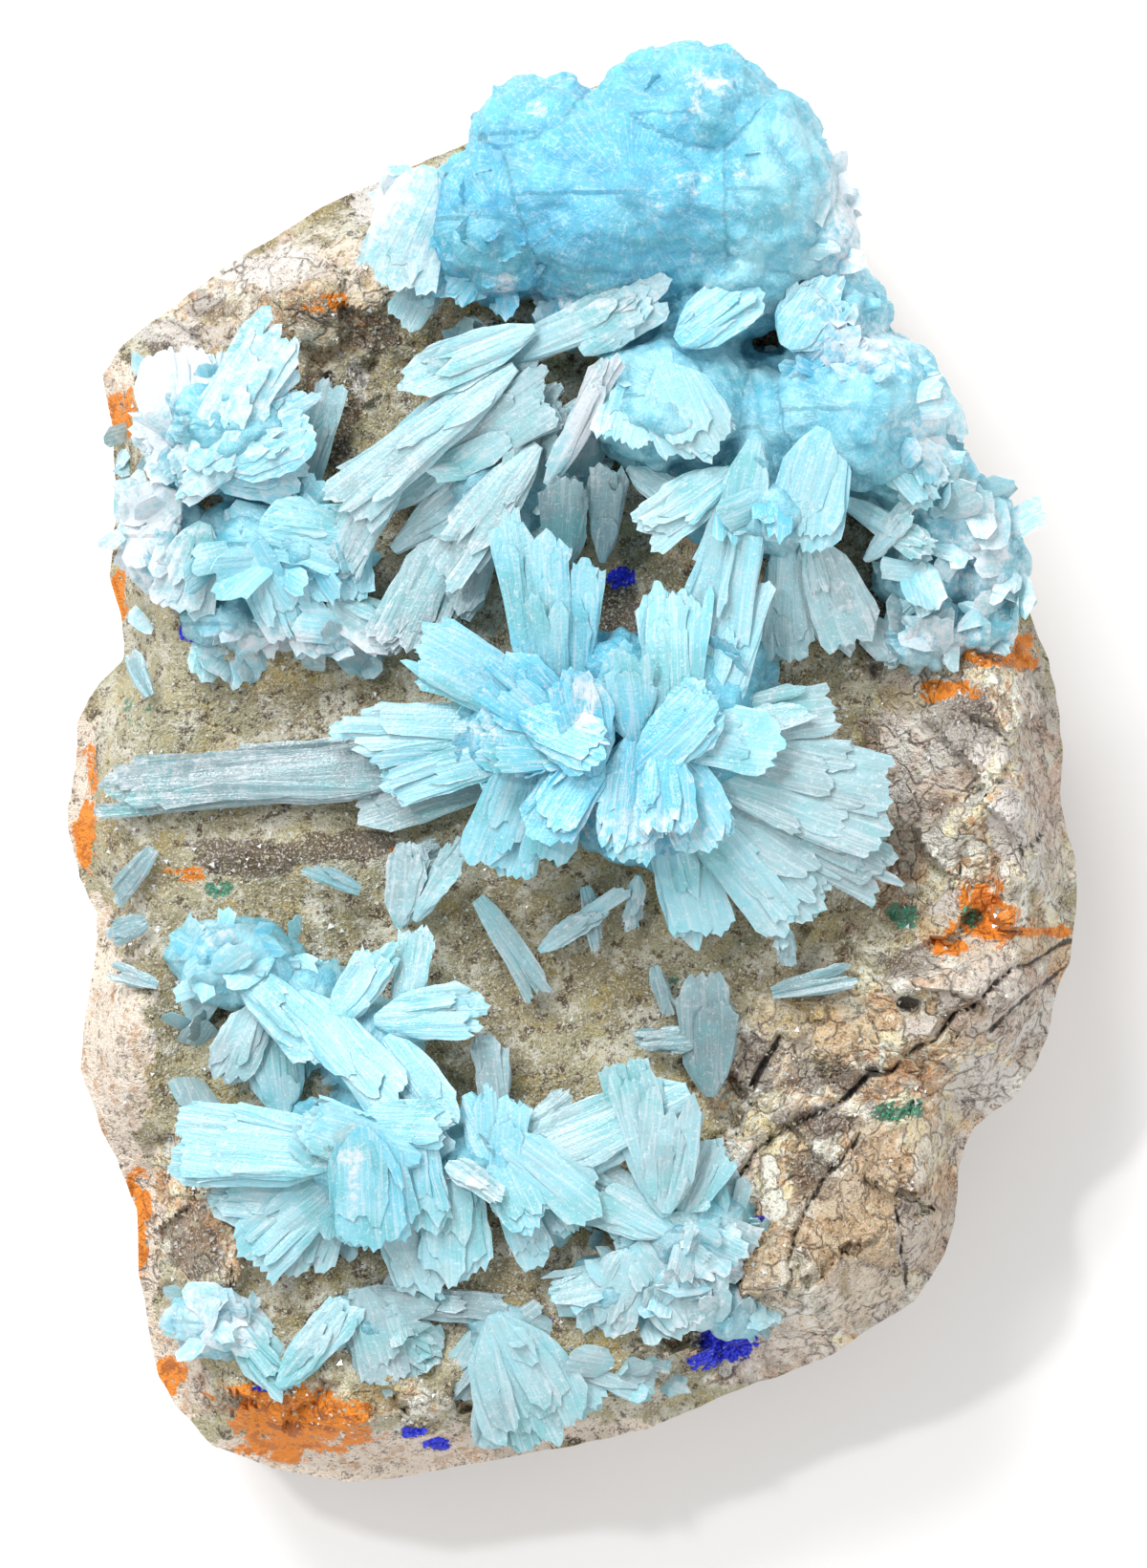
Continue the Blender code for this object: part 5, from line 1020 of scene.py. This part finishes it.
def add_sheaf(gather, chance, root, tip, root_width, tip_width, thickness, tint, frost, roll=0.0, fine=True):
    """A fan of blades grown side by side: one closed petal with a ragged end."""
    forward, side, up, length = turned(root, tip, roll)
    fewest, column, stations = FINE_MESH if fine else COARSE_MESH
    columns = max(fewest, round(tip_width / column)) + 1
    across = np.linspace(-1.0, 1.0, columns)
    short, finger, fingers = ragged_end(chance, across, tip_width, length)
    lifts = np.array([chance.uniform(-0.06, 0.08) for _ in range(fingers)])
    reach = length - short - np.array([chance.uniform(0.05, 0.3) * (k % 2) for k in range(columns)])
    reach -= chance.uniform(0.12, 0.5) * tip_width * (1.0 - np.sqrt(1.0 - 0.93 * across ** 2))
    reach = np.clip(reach, 0.35 * length, 1.02 * length)
    ridge = np.array([chance.uniform(-0.045, 0.045) for _ in range(columns)])
    sway = chance.uniform(-0.06, 0.06) * length
    curl = chance.uniform(-0.2, 0.35) if fine else 0.0
    along = np.linspace(0.0, 1.0, stations) ** 0.85
    v, u = np.meshgrid(along, across, indexing="ij")
    width = root_width + (tip_width - root_width) * np.sin(0.5 * math.pi * v) ** 0.9
    nick = np.array([chance.uniform(-0.06, 0.06) for _ in range(stations)])
    rooted = 0.3 + 0.7 * smooth_step(0.0, 0.3, v)
    x = 0.5 * width * rooted * u + sway * v ** 2 + nick[:, None] * (np.abs(u) > 0.99)
    y = v * reach[None, :]
    lens = np.sqrt(np.clip(1.0 - 0.95 * np.abs(u) ** 6, 0.02, 1.0))
    body = 0.5 * thickness * lens * rooted * (0.8 + 0.5 * v - 1.22 * v ** 3)
    bow = curl * v ** 2 + lifts[finger][None, :] * smooth_step(0.3, 1.0, v)
    top = body + ridge[None, :] * smooth_step(0.0, 0.3, v) + bow
    base = -body + bow
    loop_x = np.concatenate((x, x[:, -2:0:-1]), axis=1)
    loop_y = np.concatenate((y, y[:, -2:0:-1]), axis=1)
    loop_z = np.concatenate((top, base[:, -2:0:-1]), axis=1)
    count = loop_x.shape[1]
    local = np.stack((loop_x.ravel(), loop_y.ravel(), loop_z.ravel()), axis=1)
    points = np.array(root) + local[:, :1] * side + local[:, 1:2] * forward + local[:, 2:] * up
    index = np.arange(stations * count).reshape(stations, count)
    following = np.roll(index, -1, axis=1)
    faces = np.stack((index[:-1], following[:-1], following[1:], index[1:]), axis=-1).reshape(-1, 4).tolist()
    end = index[-1]
    for k in range(columns - 1):
        ring = [end[k], end[k + 1]]
        for other in (end[(count - k - 1) % count], end[(count - k) % count]):
            if other not in ring:
                ring.append(other)
        if len(ring) > 2:
            faces.append(ring[::-1])
    faces.append(index[0].tolist())
    seed = chance.uniform(0, 50)
    loop_v = np.repeat(along[:, None], count, axis=1).ravel()
    loop_u = np.tile(np.concatenate((across, across[-2:0:-1])), stations)
    grain = np.stack((local[:, 0] / 0.16 + seed, local[:, 1] / 4.0 + seed, loop_z.ravel() / 0.5), axis=1)
    shade = tint + 0.14 * (0.4 - loop_v) + chance.uniform(-0.05, 0.05)
    # Frost, plus painted highlight along the blade's edges and towards its tip.
    frost_and_edge_highlight = 0.7 * frost + 0.2 * loop_v ** 4 + 0.1 * np.abs(loop_u) ** 6 + frost_at(points)
    gather.add(points, faces, tint=shade, frost=frost_and_edge_highlight, grain=grain)


def frost_at(points):
    """How white the crystals are at points of the specimen, beyond their own frost."""
    extra = np.zeros(len(points))
    for x, y, radius_x, radius_y, strength in FROST_SPOTS:
        off = ((points[:, 0] - x) / radius_x) ** 2 + ((points[:, 1] - y) / radius_y) ** 2
        extra = np.maximum(extra, strength * np.exp(-off))
    return extra


def cells(points, scale, seed):
    """Rounded bumps packed side by side, 0 between them to 1 on top of each."""
    shift = Vector((seed * 5.1, seed * 9.7, seed * 2.3))
    near = np.array([noise.voronoi(Vector(p) * scale + shift)[0][0] for p in points])
    return np.clip(1.0 - 1.5 * near ** 2, 0.0, 1.0)


def unit_ball(detail):
    """Vertices and faces of a ball of radius 1, as arrays."""
    shape = bmesh.new()
    bmesh.ops.create_icosphere(shape, subdivisions=detail, radius=1.0)
    points = np.array([vert.co[:] for vert in shape.verts])
    faces = np.array([[vert.index for vert in face.verts] for face in shape.faces])
    shape.free()
    return points, faces


def is_dome(lump):
    """Whether a lump is one of the smooth tall domes at the top, which few blades stick out of."""
    x, y, _, _, _, radius_z, _ = lump
    return y > 12.0 and x > -2.0 and radius_z > 5.0


def lobes_of(chance, lump, size, ball):
    """Short plates that stand out of a lump like the leaves of a cabbage, to be fused with it."""
    x, y, z, radius_x, radius_y, radius_z, _ = lump
    made = []
    inset = 0.84 if is_dome(lump) else 0.78
    for _ in range(round(4.0 * radius_x * radius_y / size ** 2) + 6):
        turn, rise = chance.uniform(0.0, 2.0 * math.pi), chance.uniform(-0.1, 1.0)
        flat = math.sqrt(1.0 - rise * rise)
        out = Vector((math.cos(turn) * flat, math.sin(turn) * flat, rise))
        centre = (x + out.x * radius_x * inset, y + out.y * radius_y * inset, z + out.z * radius_z * inset)
        facing = out.orthogonal().normalized()
        facing.rotate(Matrix.Rotation(chance.uniform(0.0, math.pi), 3, out))
        beside = out.cross(facing)
        long, wide, thin = (size * chance.uniform(low, high) for low, high in ((0.6, 0.95), (0.5, 1.0), (0.2, 0.4)))
        leaf = ball[:, :1] * np.array(out) * long + ball[:, 1:2] * np.array(facing) * wide
        made.append(np.array(centre) + leaf + ball[:, 2:] * np.array(beside) * thin)
    return made


def build_lumps(name, lumps, voxel, material):
    """The lumps of a cluster, fused into one closed skin and made uneven like sugar."""
    large, large_faces = unit_ball(4)
    small, small_faces = unit_ball(2)
    points, faces, count = [], [], 0
    for lump in lumps:
        x, y, z, radius_x, radius_y, radius_z, _ = lump
        bumps = field(large + np.array((x, y, z)) / 1.7, 1.7, 31.0) + 0.5 * field(large, 3.9, x)
        dome = is_dome(lump)
        full = 1.0 if dome or radius_z < 4.0 else 0.9
        shell = large * (full + 0.12 * bumps)[:, None] * (radius_x, radius_y, radius_z)
        points.append(shell + (x, y, z))
        faces.append(large_faces + count)
        count += len(large)
        for lobe in lobes_of(random.Random(x + y), lump, 1.2 if dome else 1.0, small):
            points.append(lobe)
            faces.append(small_faces + count)
            count += len(small)
    mesh = bpy.data.meshes.new(name + "_lumps")
    mesh.from_pydata((np.concatenate(points) * MM).tolist(), [], np.concatenate(faces).tolist())
    item = bpy.data.objects.new(name + "_lumps", mesh)
    bpy.context.scene.collection.objects.link(item)
    fuse = item.modifiers.new("fuse", "REMESH")
    fuse.mode = "VOXEL"
    fuse.voxel_size = voxel * MM
    fused = bpy.data.meshes.new_from_object(item.evaluated_get(bpy.context.evaluated_depsgraph_get()))
    item.modifiers.clear()
    item.data = fused
    bpy.data.meshes.remove(mesh)
    count = len(fused.vertices)
    spots = np.empty(count * 3, np.float32)
    fused.vertices.foreach_get("co", spots)
    spots = spots.reshape(-1, 3) / MM
    normals = np.empty(count * 3, np.float32)
    fused.vertex_normals.foreach_get("vector", normals)
    normals = normals.reshape(-1, 3)
    knobs = cells(spots, 0.5, 1.0)
    beads = cells(spots, 1.25, 2.0)
    swell = 0.3 * field(spots, 0.42, 21.0) + 0.4 * knobs + 0.14 * beads + 0.08 * field(spots, 2.4, 23.0) - 0.35
    moved = spots + normals * swell[:, None]
    fused.vertices.foreach_set("co", (moved * MM).astype(np.float32).ravel())
    centres = np.array([lump[:3] for lump in lumps])
    radii = np.array([lump[3:6] for lump in lumps])
    tints = np.array([lump[6] for lump in lumps])
    off = (((spots[:, None, :] - centres) / radii) ** 2).sum(axis=2)
    weight = np.exp(-3.0 * off)
    tint = (weight * tints).sum(axis=1) / weight.sum(axis=1)
    tint += 0.12 * field(spots, 0.35, 24.0) + 0.1 * (0.5 - knobs)
    frost = 0.05 + 0.35 * smooth_step(0.25, 0.6, field(spots, 0.45, 25.0)) + 0.15 * beads * knobs + frost_at(spots)
    for key, data in (("tint", tint), ("frost", frost)):
        fused.attributes.new(key, "FLOAT", "POINT").data.foreach_set("value", data.astype(np.float32))
    near = np.argmin(off, axis=1)
    aside = spots - centres[near]
    turn = np.arctan2(aside[:, 1], aside[:, 0]) * radii[near, :2].mean(axis=1)
    grain = np.stack((turn / 0.3, np.hypot(aside[:, 0], aside[:, 1]) / 2.5, spots[:, 2] / 2.5), axis=1)
    grain = (grain + 0.6 * field(spots, 0.7, 26.0)[:, None]).astype(np.float32).ravel()
    fused.attributes.new("grain", "FLOAT_VECTOR", "POINT").data.foreach_set("vector", grain)
    fused.materials.clear()
    fused.materials.append(material)
    fused.shade_smooth()
    fused.update()
    return item


def add_rays(gather, chance, lump, size):
    """Leaf-like blades that grow out of the heart of a lump and lean outwards, the higher ones shorter."""
    x, y, z, radius_x, radius_y, radius_z, tint = lump
    dome = is_dome(lump)
    dense = 1.0 if dome else 6.0 if radius_z > 4.0 else 3.6
    for _ in range(round(dense * radius_x * radius_y / size ** 2) + 3):
        turn, rise = chance.uniform(0.0, 2.0 * math.pi), chance.uniform(0.0, 0.94)
        flat = math.sqrt(1.0 - rise * rise)
        ray = Vector((math.cos(turn) * flat * radius_x, math.sin(turn) * flat * radius_y, rise * radius_z))
        far = chance.uniform(0.95, 1.04) if dome else chance.uniform(0.9, 1.14)
        heart = Vector((x, y, z))
        end = heart + ray * far + Vector((chance.gauss(0, 0.3), chance.gauss(0, 0.3), chance.gauss(0, 0.2)))
        width = size * (chance.uniform(0.5, 1.2) if radius_z > 4.0 else chance.uniform(0.3, 0.7))
        add_sheaf(
            gather, chance, heart + ray * 0.4, end, 0.5 * width, width, 0.17 * size,
            tint - 0.08 + chance.uniform(-0.1, 0.1), chance.uniform(0.0, 0.35), roll=chance.uniform(-0.5, 0.5),
        )


def rock_below(tree, x, y):
    """The rock's surface under a point in millimetres, with its normal."""
    spot, normal, _, _ = tree.ray_cast(Vector((x, y, RAY_START)) * MM, -UP)
    return (None, None) if spot is None else (spot / MM, normal)


def in_oval(chance, x, y, radius_x, radius_y):
    """A random point of an oval patch."""
    turn, far = chance.uniform(0, 2 * math.pi), math.sqrt(chance.random())
    return x + radius_x * far * math.cos(turn), y + radius_y * far * math.sin(turn)


def surface_below(trees, x, y):
    """Highest surface under a point, with its normal, in millimetres."""
    best, best_normal = None, None
    for tree in trees:
        spot, normal = rock_below(tree, x, y)
        if spot is not None and (best is None or spot.z > best.z):
            best, best_normal = spot, normal
    return best, best_normal


def tree_of(item):
    """An object's faces, ready for rays."""
    mesh = item.data
    return BVHTree.FromPolygons([v.co for v in mesh.vertices], [p.vertices for p in mesh.polygons])


def grow_sheaf(gather, chance, sheaf, blades):
    """A sheaf: broad thin plates almost in one plane, with narrow blades that end beyond and beside them."""
    root, tip, root_width, tip_width, thickness, tint, frost = sheaf
    start, run = Vector(root), Vector(tip) - Vector(root)
    across = run.cross(UP).normalized()
    up = across.cross(run).normalized()
    for level, share, reach in PLATES:
        aside = across * chance.uniform(-0.3, 0.3) * tip_width * (1.0 - share)
        base = start + up * (0.25 * level * thickness)
        end = start + run * (reach + chance.uniform(-0.05, 0.05)) + aside + up * (0.4 * level * thickness)
        add_sheaf(
            gather, chance, base, end, root_width * share ** 0.5, tip_width * share, 0.26 * thickness,
            tint + chance.uniform(-0.03, 0.03), frost, roll=chance.uniform(-0.12, 0.12),
        )
    for _ in range(round(blades * (0.5 + 0.2 * tip_width))):
        place, level = chance.uniform(-1.0, 1.0), chance.uniform(-1.0, 0.8)
        reach = chance.uniform(0.84, 1.06) if level < 0.2 else chance.uniform(0.4, 0.95)
        reach -= 0.12 * place ** 2
        width = min(0.8 * tip_width, chance.uniform(0.5, 1.6))
        base = start + run * 0.1 + across * (0.3 * place * root_width) + up * (0.2 * level * thickness)
        end = start + run * reach + across * (place * 0.56 * max(0.3, tip_width - 0.6 * width) * (0.4 + 0.6 * reach))
        end += up * (0.3 * level * thickness + chance.gauss(0.0, 0.1))
        add_sheaf(
            gather, chance, base, end, 0.6 * width, width, chance.uniform(0.14, 0.24) * thickness,
            tint + chance.uniform(-0.05, 0.05), frost * chance.uniform(0.5, 1.5), roll=chance.uniform(-0.3, 0.3),
        )


def grow_lone(gather, chance, sheaf):
    """A lone crystal: a few narrow fans that part slightly, clearer than those of a cluster."""
    root, tip, root_width, tip_width, thickness, tint, frost = sheaf
    for turn in LONE_TURNS:
        start, end = Vector(root), Vector(tip)
        across = (end - start).cross(UP).normalized() * 0.3 * turn * tip_width
        end = start + (end - start) * chance.uniform(0.78, 1.0)
        add_sheaf(
            gather, chance, start + 0.6 * across, end + across, 0.4 * root_width, 0.55 * tip_width,
            0.4 * thickness, tint + 0.14, frost + 0.3, roll=chance.uniform(-0.6, 0.6),
        )


def grow_crust(gather, chance, crust, trees):
    """A patch of small blades that stand on the surfaces below it and lean outwards."""
    x, y, radius_x, radius_y, count, low, high, tint, frost = crust
    for _ in range(count):
        spot, normal = surface_below(trees, *in_oval(chance, x, y, radius_x, radius_y))
        if spot is None:
            continue
        away = Vector((spot.x - x, spot.y - y, 0.0)) * (0.5 / max(radius_x, radius_y)) + 0.4 * normal
        aim = away + Vector((chance.gauss(0, 0.55), chance.gauss(0, 0.55), chance.uniform(-0.1, 0.35)))
        aim.normalize()
        length = CRUST_STRETCH * chance.uniform(low, high)
        width = length * chance.uniform(0.35, 0.7)
        add_sheaf(
            gather, chance, spot - aim * 0.4 * length, spot + aim * 0.6 * length, width * 0.7, width,
            width * 0.25, tint + 0.08 + chance.uniform(-0.12, 0.12), 0.5 * frost * chance.uniform(0.3, 1.2),
            roll=chance.uniform(-0.7, 0.7), fine=False,
        )


def build_cluster(name, settings, material, mass, rock_tree):
    """One cluster: its lumps, its sheaves with smaller ones beside them, and its crust of small blades."""
    chance = random.Random(name)
    made = []
    trees = [rock_tree]
    gather = Gather("tint", "frost", "grain")
    if name in LUMPS:
        lumps = build_lumps(name, LUMPS[name], settings.lump_voxel, mass)
        trees.append(tree_of(lumps))
        made.append(lumps)
        for lump in LUMPS[name]:
            add_rays(gather, chance, lump, RAY_SIZE[name])
    for sheaf in SHEAVES[name]:
        if len(SHEAVES[name]) == 1:
            grow_lone(gather, chance, sheaf)
        else:
            grow_sheaf(gather, chance, sheaf, settings.companions)
    for crust in CRUSTS.get(name, ()):
        grow_crust(gather, chance, crust, trees)
    made.append(gather.build(name + "_blades", material, smooth_angle=38.0))
    return made


def build_druse(settings, rock_tree, material):
    """Tiny quartz points that make the rock floor sparkle."""
    chance = random.Random(5)
    gather = Gather("shade")
    for _ in range(settings.points):
        x, y = chance.uniform(-26, 25), chance.uniform(-36, 30)
        if math.hypot(x, y) > QUARTZ_EXTENT * rim_radius(math.atan2(y, x)):
            continue
        bare = x > 12 and y < 2
        if bare and chance.random() > QUARTZ_ON_BREAK:
            continue
        spot, normal = rock_below(rock_tree, x, y)
        if spot is None:
            continue
        size = chance.uniform(*QUARTZ_RADIUS) * (1.4 if chance.random() > 0.93 else 1.0)
        aim = (normal + Vector((chance.gauss(0, 0.45), chance.gauss(0, 0.45), 0.0))).normalized()
        forward, side, up, _ = turned(spot, spot + aim)
        turn = chance.uniform(0, 1.5)
        points = []
        for k in range(3):
            a = turn + k * math.pi / 1.5
            points.append(np.array(spot) + size * (side * math.cos(a) + up * math.sin(a)) - forward * 0.04)
        points.append(np.array(spot) + forward * size * chance.uniform(0.9, 1.5))
        faces = [(0, 1, 3), (1, 2, 3), (2, 0, 3), (2, 1, 0)]
        gather.add(points, faces, shade=chance.random() ** 2.2)
    return gather.build("druse_points", material)


def build_copper_grains(rock_tree, kind, count, size, material):
    """Small rounded grains of a copper mineral on its stained patches."""
    chance = random.Random(kind)
    gather = Gather("shade")
    spots = [patch[:4] for patch in PATCHES[kind] if patch[4] >= 0.7]
    area = sum(radius_x * radius_y for _, _, radius_x, radius_y in spots)
    for x, y, radius_x, radius_y in spots:
        for _ in range(round(count * radius_x * radius_y / area)):
            spot, _ = rock_below(rock_tree, *in_oval(chance, x, y, radius_x, radius_y))
            if spot is None:
                continue
            ball = bmesh.new()
            bmesh.ops.create_icosphere(ball, subdivisions=1, radius=chance.uniform(0.5, 1.0) * size)
            turn = Matrix.Rotation(chance.uniform(0, 3), 3, Vector((chance.random(), chance.random(), 1)).normalized())
            points = [np.array(turn @ Vector((v.co.x, v.co.y, v.co.z * 0.7)) + spot) for v in ball.verts]
            gather.add(points, [[v.index for v in f.verts] for f in ball.faces], shade=chance.random())
            ball.free()
    return gather.build(kind + "_grains", material)


def colour_property(name, description, code):
    """A colour a user can change, given as sRGB hex."""
    return FloatVectorProperty(
        name=name, description=description, subtype="COLOR", size=4, min=0.0, max=1.0, default=linear(code),
    )


class RockSettings(bpy.types.PropertyGroup):
    cells_across: IntProperty(name="Cells across", description="Grid cells across the front face", default=210)
    cells_along: IntProperty(name="Cells along", description="Grid cells along the front face", default=290)
    flank_rings: IntProperty(name="Flank rings", description="Rings of the rock's flanks", default=22)
    points: IntProperty(name="Quartz points", description="Sparkling points tried on the floor", default=QUARTZ_POINTS)
    azurite_grains: IntProperty(name="Azurite grains", description="Grains of azurite tried", default=260)
    malachite_grains: IntProperty(name="Malachite grains", description="Grains of malachite tried", default=200)
    floor_colour: colour_property("Druse", "Colour of the brown druse floor", DRUSE_BROWN)
    broken_colour: colour_property("Break", "Colour of the freshly broken rock", BREAK_BROWN)
    rind_colour: colour_property("Rind", "Colour of the pale rind", RIND_CREAM)
    rust_colour: colour_property("Rust", "Colour of the iron stains", RUST)
    azurite_colour: colour_property("Azurite", "Colour of the azurite crusts", AZURITE_BLUE)
    malachite_colour: colour_property("Malachite", "Colour of the malachite crusts", MALACHITE_GREEN)


class CrystalSettings(bpy.types.PropertyGroup):
    lump_voxel: FloatProperty(name="Lump voxel", description="Voxel of the fused lumps, in millimetres", default=0.23)
    companions: IntProperty(name="Companions", description="Smaller blades beside each sheaf", default=6)
    milky_transmission: FloatProperty(
        name="Milky blades", description="Share of light that milky blades let through", default=0.25,
        min=0.0, max=1.0, subtype="FACTOR",
    )
    clear_transmission: FloatProperty(
        name="Clear blades", description="Share of light that clear blades let through", default=0.5,
        min=0.0, max=1.0, subtype="FACTOR",
    )
    deep_colour: colour_property("Deep sky", "Colour of the thickest crystal", DEEP_SKY)
    sky_colour: colour_property("Sky", "Colour of thick crystal", SKY)
    aqua_colour: colour_property("Aqua", "Colour of the usual blade", AQUA)
    pale_colour: colour_property("Pale", "Colour of thin blades", PALE_BLADE)
    grey_colour: colour_property("Grey", "Colour of the thinnest, clear blades", GREY_TEAL)
    # Also the colour of the painted highlight on blade edges and tips, and of the painted glints.
    frost_and_highlight_colour: colour_property("Frost", "Colour of bruised or finely crystalline places", FROST)


class StageSettings(bpy.types.PropertyGroup):
    lens: FloatProperty(name="Lens", description="Focal length in millimetres", default=300.0)
    key_power: FloatProperty(name="Key light", description="Power of the key light in watts", default=3.5)
    sky_strength: FloatProperty(name="Studio", description="Strength of the light from all round", default=0.7)
    floor_colour: colour_property("Paper", "Colour of the paper under the specimen", PAPER_WHITE)


def crystal_look(settings, kind):
    """The material of one kind of crystal, made once."""
    name, transmission, roughness, grains = {
        "sky": ("milky sky blue aragonite", settings.milky_transmission, 0.3, 0.0),
        "pale": ("pale blue aragonite", settings.milky_transmission, 0.28, 0.0),
        "clear": ("clear grey aragonite", settings.clear_transmission, 0.22, 0.0),
        "mass": ("granular sky blue aragonite", 0.15, 0.45, 0.3),
    }[kind]
    return bpy.data.materials.get(name) or crystal_material(name, settings, transmission, roughness, grains)


def grow(context, kind, slot, names):
    """Builds clusters or lone blades of one kind, each riding on the rock and replacing its CAD node."""
    settings = context.scene.aragonite_crystals
    rock_tree = tree_of(bpy.data.objects["rock_body"])
    blades, mass = crystal_look(settings, kind), crystal_look(settings, "mass")
    for name in names:
        made = build_cluster(name, settings, blades, mass, rock_tree)
        for item in made:
            declare(item, slot, *((name,) if item is made[-1] else ()))


class ARAGONITE_OT_rock(bpy.types.Operator):
    """Builds the host rock"""

    bl_idname = "aragonite.rock"
    bl_label = "Host rock"

    def execute(self, context):
        settings = context.scene.aragonite_rock
        rock = build_rock(settings).build("rock_body", rock_material(settings), smooth_angle=50.0)
        declare(rock, "rock", "matrix_rock")
        return {"FINISHED"}


class ARAGONITE_OT_druse(bpy.types.Operator):
    """Grows the sparkling quartz points of the floor"""

    bl_idname = "aragonite.druse"
    bl_label = "Quartz druse"

    def execute(self, context):
        quartz = grain_material("druse quartz", (linear(DRUSE_OLIVE), linear(FROST)), 0.12, 0.25)
        tree = tree_of(bpy.data.objects["rock_body"])
        declare(build_druse(context.scene.aragonite_rock, tree, quartz), "rock")
        return {"FINISHED"}


class ARAGONITE_OT_copper_grains(bpy.types.Operator):
    """Scatters the azurite and malachite grains over their stains"""

    bl_idname = "aragonite.copper_grains"
    bl_label = "Azurite and malachite"

    def execute(self, context):
        settings = context.scene.aragonite_rock
        tree = tree_of(bpy.data.objects["rock_body"])
        for kind, (light, roughness, size) in COPPER_GRAINS.items():
            shades = (getattr(settings, kind + "_colour"), linear(light))
            material = grain_material(kind + " crust", shades, roughness, 0.0)
            declare(build_copper_grains(tree, kind, getattr(settings, kind + "_grains"), size, material), "rock")
        return {"FINISHED"}


class ARAGONITE_OT_sky_clusters(bpy.types.Operator):
    """Grows the large dome with its fans, and the rosette in the middle"""

    bl_idname = "aragonite.sky_clusters"
    bl_label = "Sky blue clusters"

    def execute(self, context):
        grow(context, "sky", "sky_blue_aragonite", ("upper_crystal_mass", "centre_rosette"))
        return {"FINISHED"}


class ARAGONITE_OT_pale_clusters(bpy.types.Operator):
    """Grows the four paler clusters at the left and the bottom"""

    bl_idname = "aragonite.pale_clusters"
    bl_label = "Pale blue clusters"

    def execute(self, context):
        names = ("left_sheaf_cluster", "lower_left_cluster", "curved_fan_cluster", "bottom_fan_cluster")
        grow(context, "pale", "pale_blue_aragonite", names)
        return {"FINISHED"}


class ARAGONITE_OT_clear_blades(bpy.types.Operator):
    """Grows the clear spray, the upright blade and the lone blades and rods on the floor"""

    bl_idname = "aragonite.clear_blades"
    bl_label = "Clear blades"

    def execute(self, context):
        grow(context, "clear", "grey_clear_aragonite", CLEAR_BLADES)
        return {"FINISHED"}


class ARAGONITE_OT_stage(bpy.types.Operator):
    """Sets the pale floor, the soft studio light and the camera"""

    bl_idname = "aragonite.stage"
    bl_label = "Stage"

    def execute(self, context):
        scene = context.scene
        settings = scene.aragonite_stage
        shape = bmesh.new()
        bmesh.ops.create_grid(shape, x_segments=1, y_segments=1, size=1.5)
        mesh = bpy.data.meshes.new("floor")
        shape.to_mesh(mesh)
        shape.free()
        material, _, shader = new_material("white paper sweep")
        set_inputs(shader, {"Base Color": settings.floor_colour, "Roughness": 0.9})
        mesh.materials.append(material)
        floor = bpy.data.objects.new("floor", mesh)
        scene.collection.objects.link(floor)
        world = bpy.data.worlds.new("soft studio")
        scene.world = world
        world.use_nodes = True
        around = {"Color": (1.0, 1.0, 1.0, 1.0), "Strength": settings.sky_strength}
        set_inputs(world.node_tree.nodes["Background"], around)
        for name, (place, size, share) in LIGHTS.items():
            light = bpy.data.lights.new(name, "AREA")
            light.size = size
            light.energy = share * settings.key_power
            item = bpy.data.objects.new(name, light)
            item.location = place
            item.rotation_euler = (-Vector(place)).to_track_quat("-Z", "Y").to_euler()
            scene.collection.objects.link(item)
        camera = bpy.data.cameras.new("camera")
        camera.lens = settings.lens
        camera.sensor_fit = "VERTICAL"
        camera.sensor_height = 36.0
        camera.clip_start = 0.01
        distance = VIEW_HEIGHT * MM * settings.lens / camera.sensor_height
        item = bpy.data.objects.new("camera", camera)
        item.location = (0.0, VIEW_SHIFT * MM, VIEW_LEVEL * MM + distance)
        scene.collection.objects.link(item)
        scene.camera = item
        scene.view_settings.view_transform = "Standard"
        return {"FINISHED"}


class ARAGONITE_PT_panel(bpy.types.Panel):
    """Lists the steps that build the specimen"""

    bl_label = "Aragonite"
    bl_idname = "ARAGONITE_PT_panel"
    bl_space_type = "VIEW_3D"
    bl_region_type = "UI"
    bl_category = "Aragonite"

    def draw(self, context):
        for step in STEPS:
            self.layout.operator(step.bl_idname)


STEPS = (
    ARAGONITE_OT_rock, ARAGONITE_OT_druse, ARAGONITE_OT_copper_grains, ARAGONITE_OT_sky_clusters,
    ARAGONITE_OT_pale_clusters, ARAGONITE_OT_clear_blades, ARAGONITE_OT_stage,
)
CLASSES = (RockSettings, CrystalSettings, StageSettings, *STEPS, ARAGONITE_PT_panel)
GROUPS = {
    "aragonite_rock": RockSettings, "aragonite_crystals": CrystalSettings, "aragonite_stage": StageSettings,
}


def register():
    for item in CLASSES:
        bpy.utils.register_class(item)
    for name, group in GROUPS.items():
        setattr(bpy.types.Scene, name, PointerProperty(type=group))


def unregister():
    for name in GROUPS:
        delattr(bpy.types.Scene, name)
    for item in reversed(CLASSES):
        bpy.utils.unregister_class(item)


def main():
    register()
    bpy.ops.aragonite.rock()
    bpy.ops.aragonite.druse()
    bpy.ops.aragonite.copper_grains()
    bpy.ops.aragonite.sky_clusters()
    bpy.ops.aragonite.pale_clusters()
    bpy.ops.aragonite.clear_blades()
    bpy.ops.aragonite.stage()


if __name__ == "__main__":
    main()
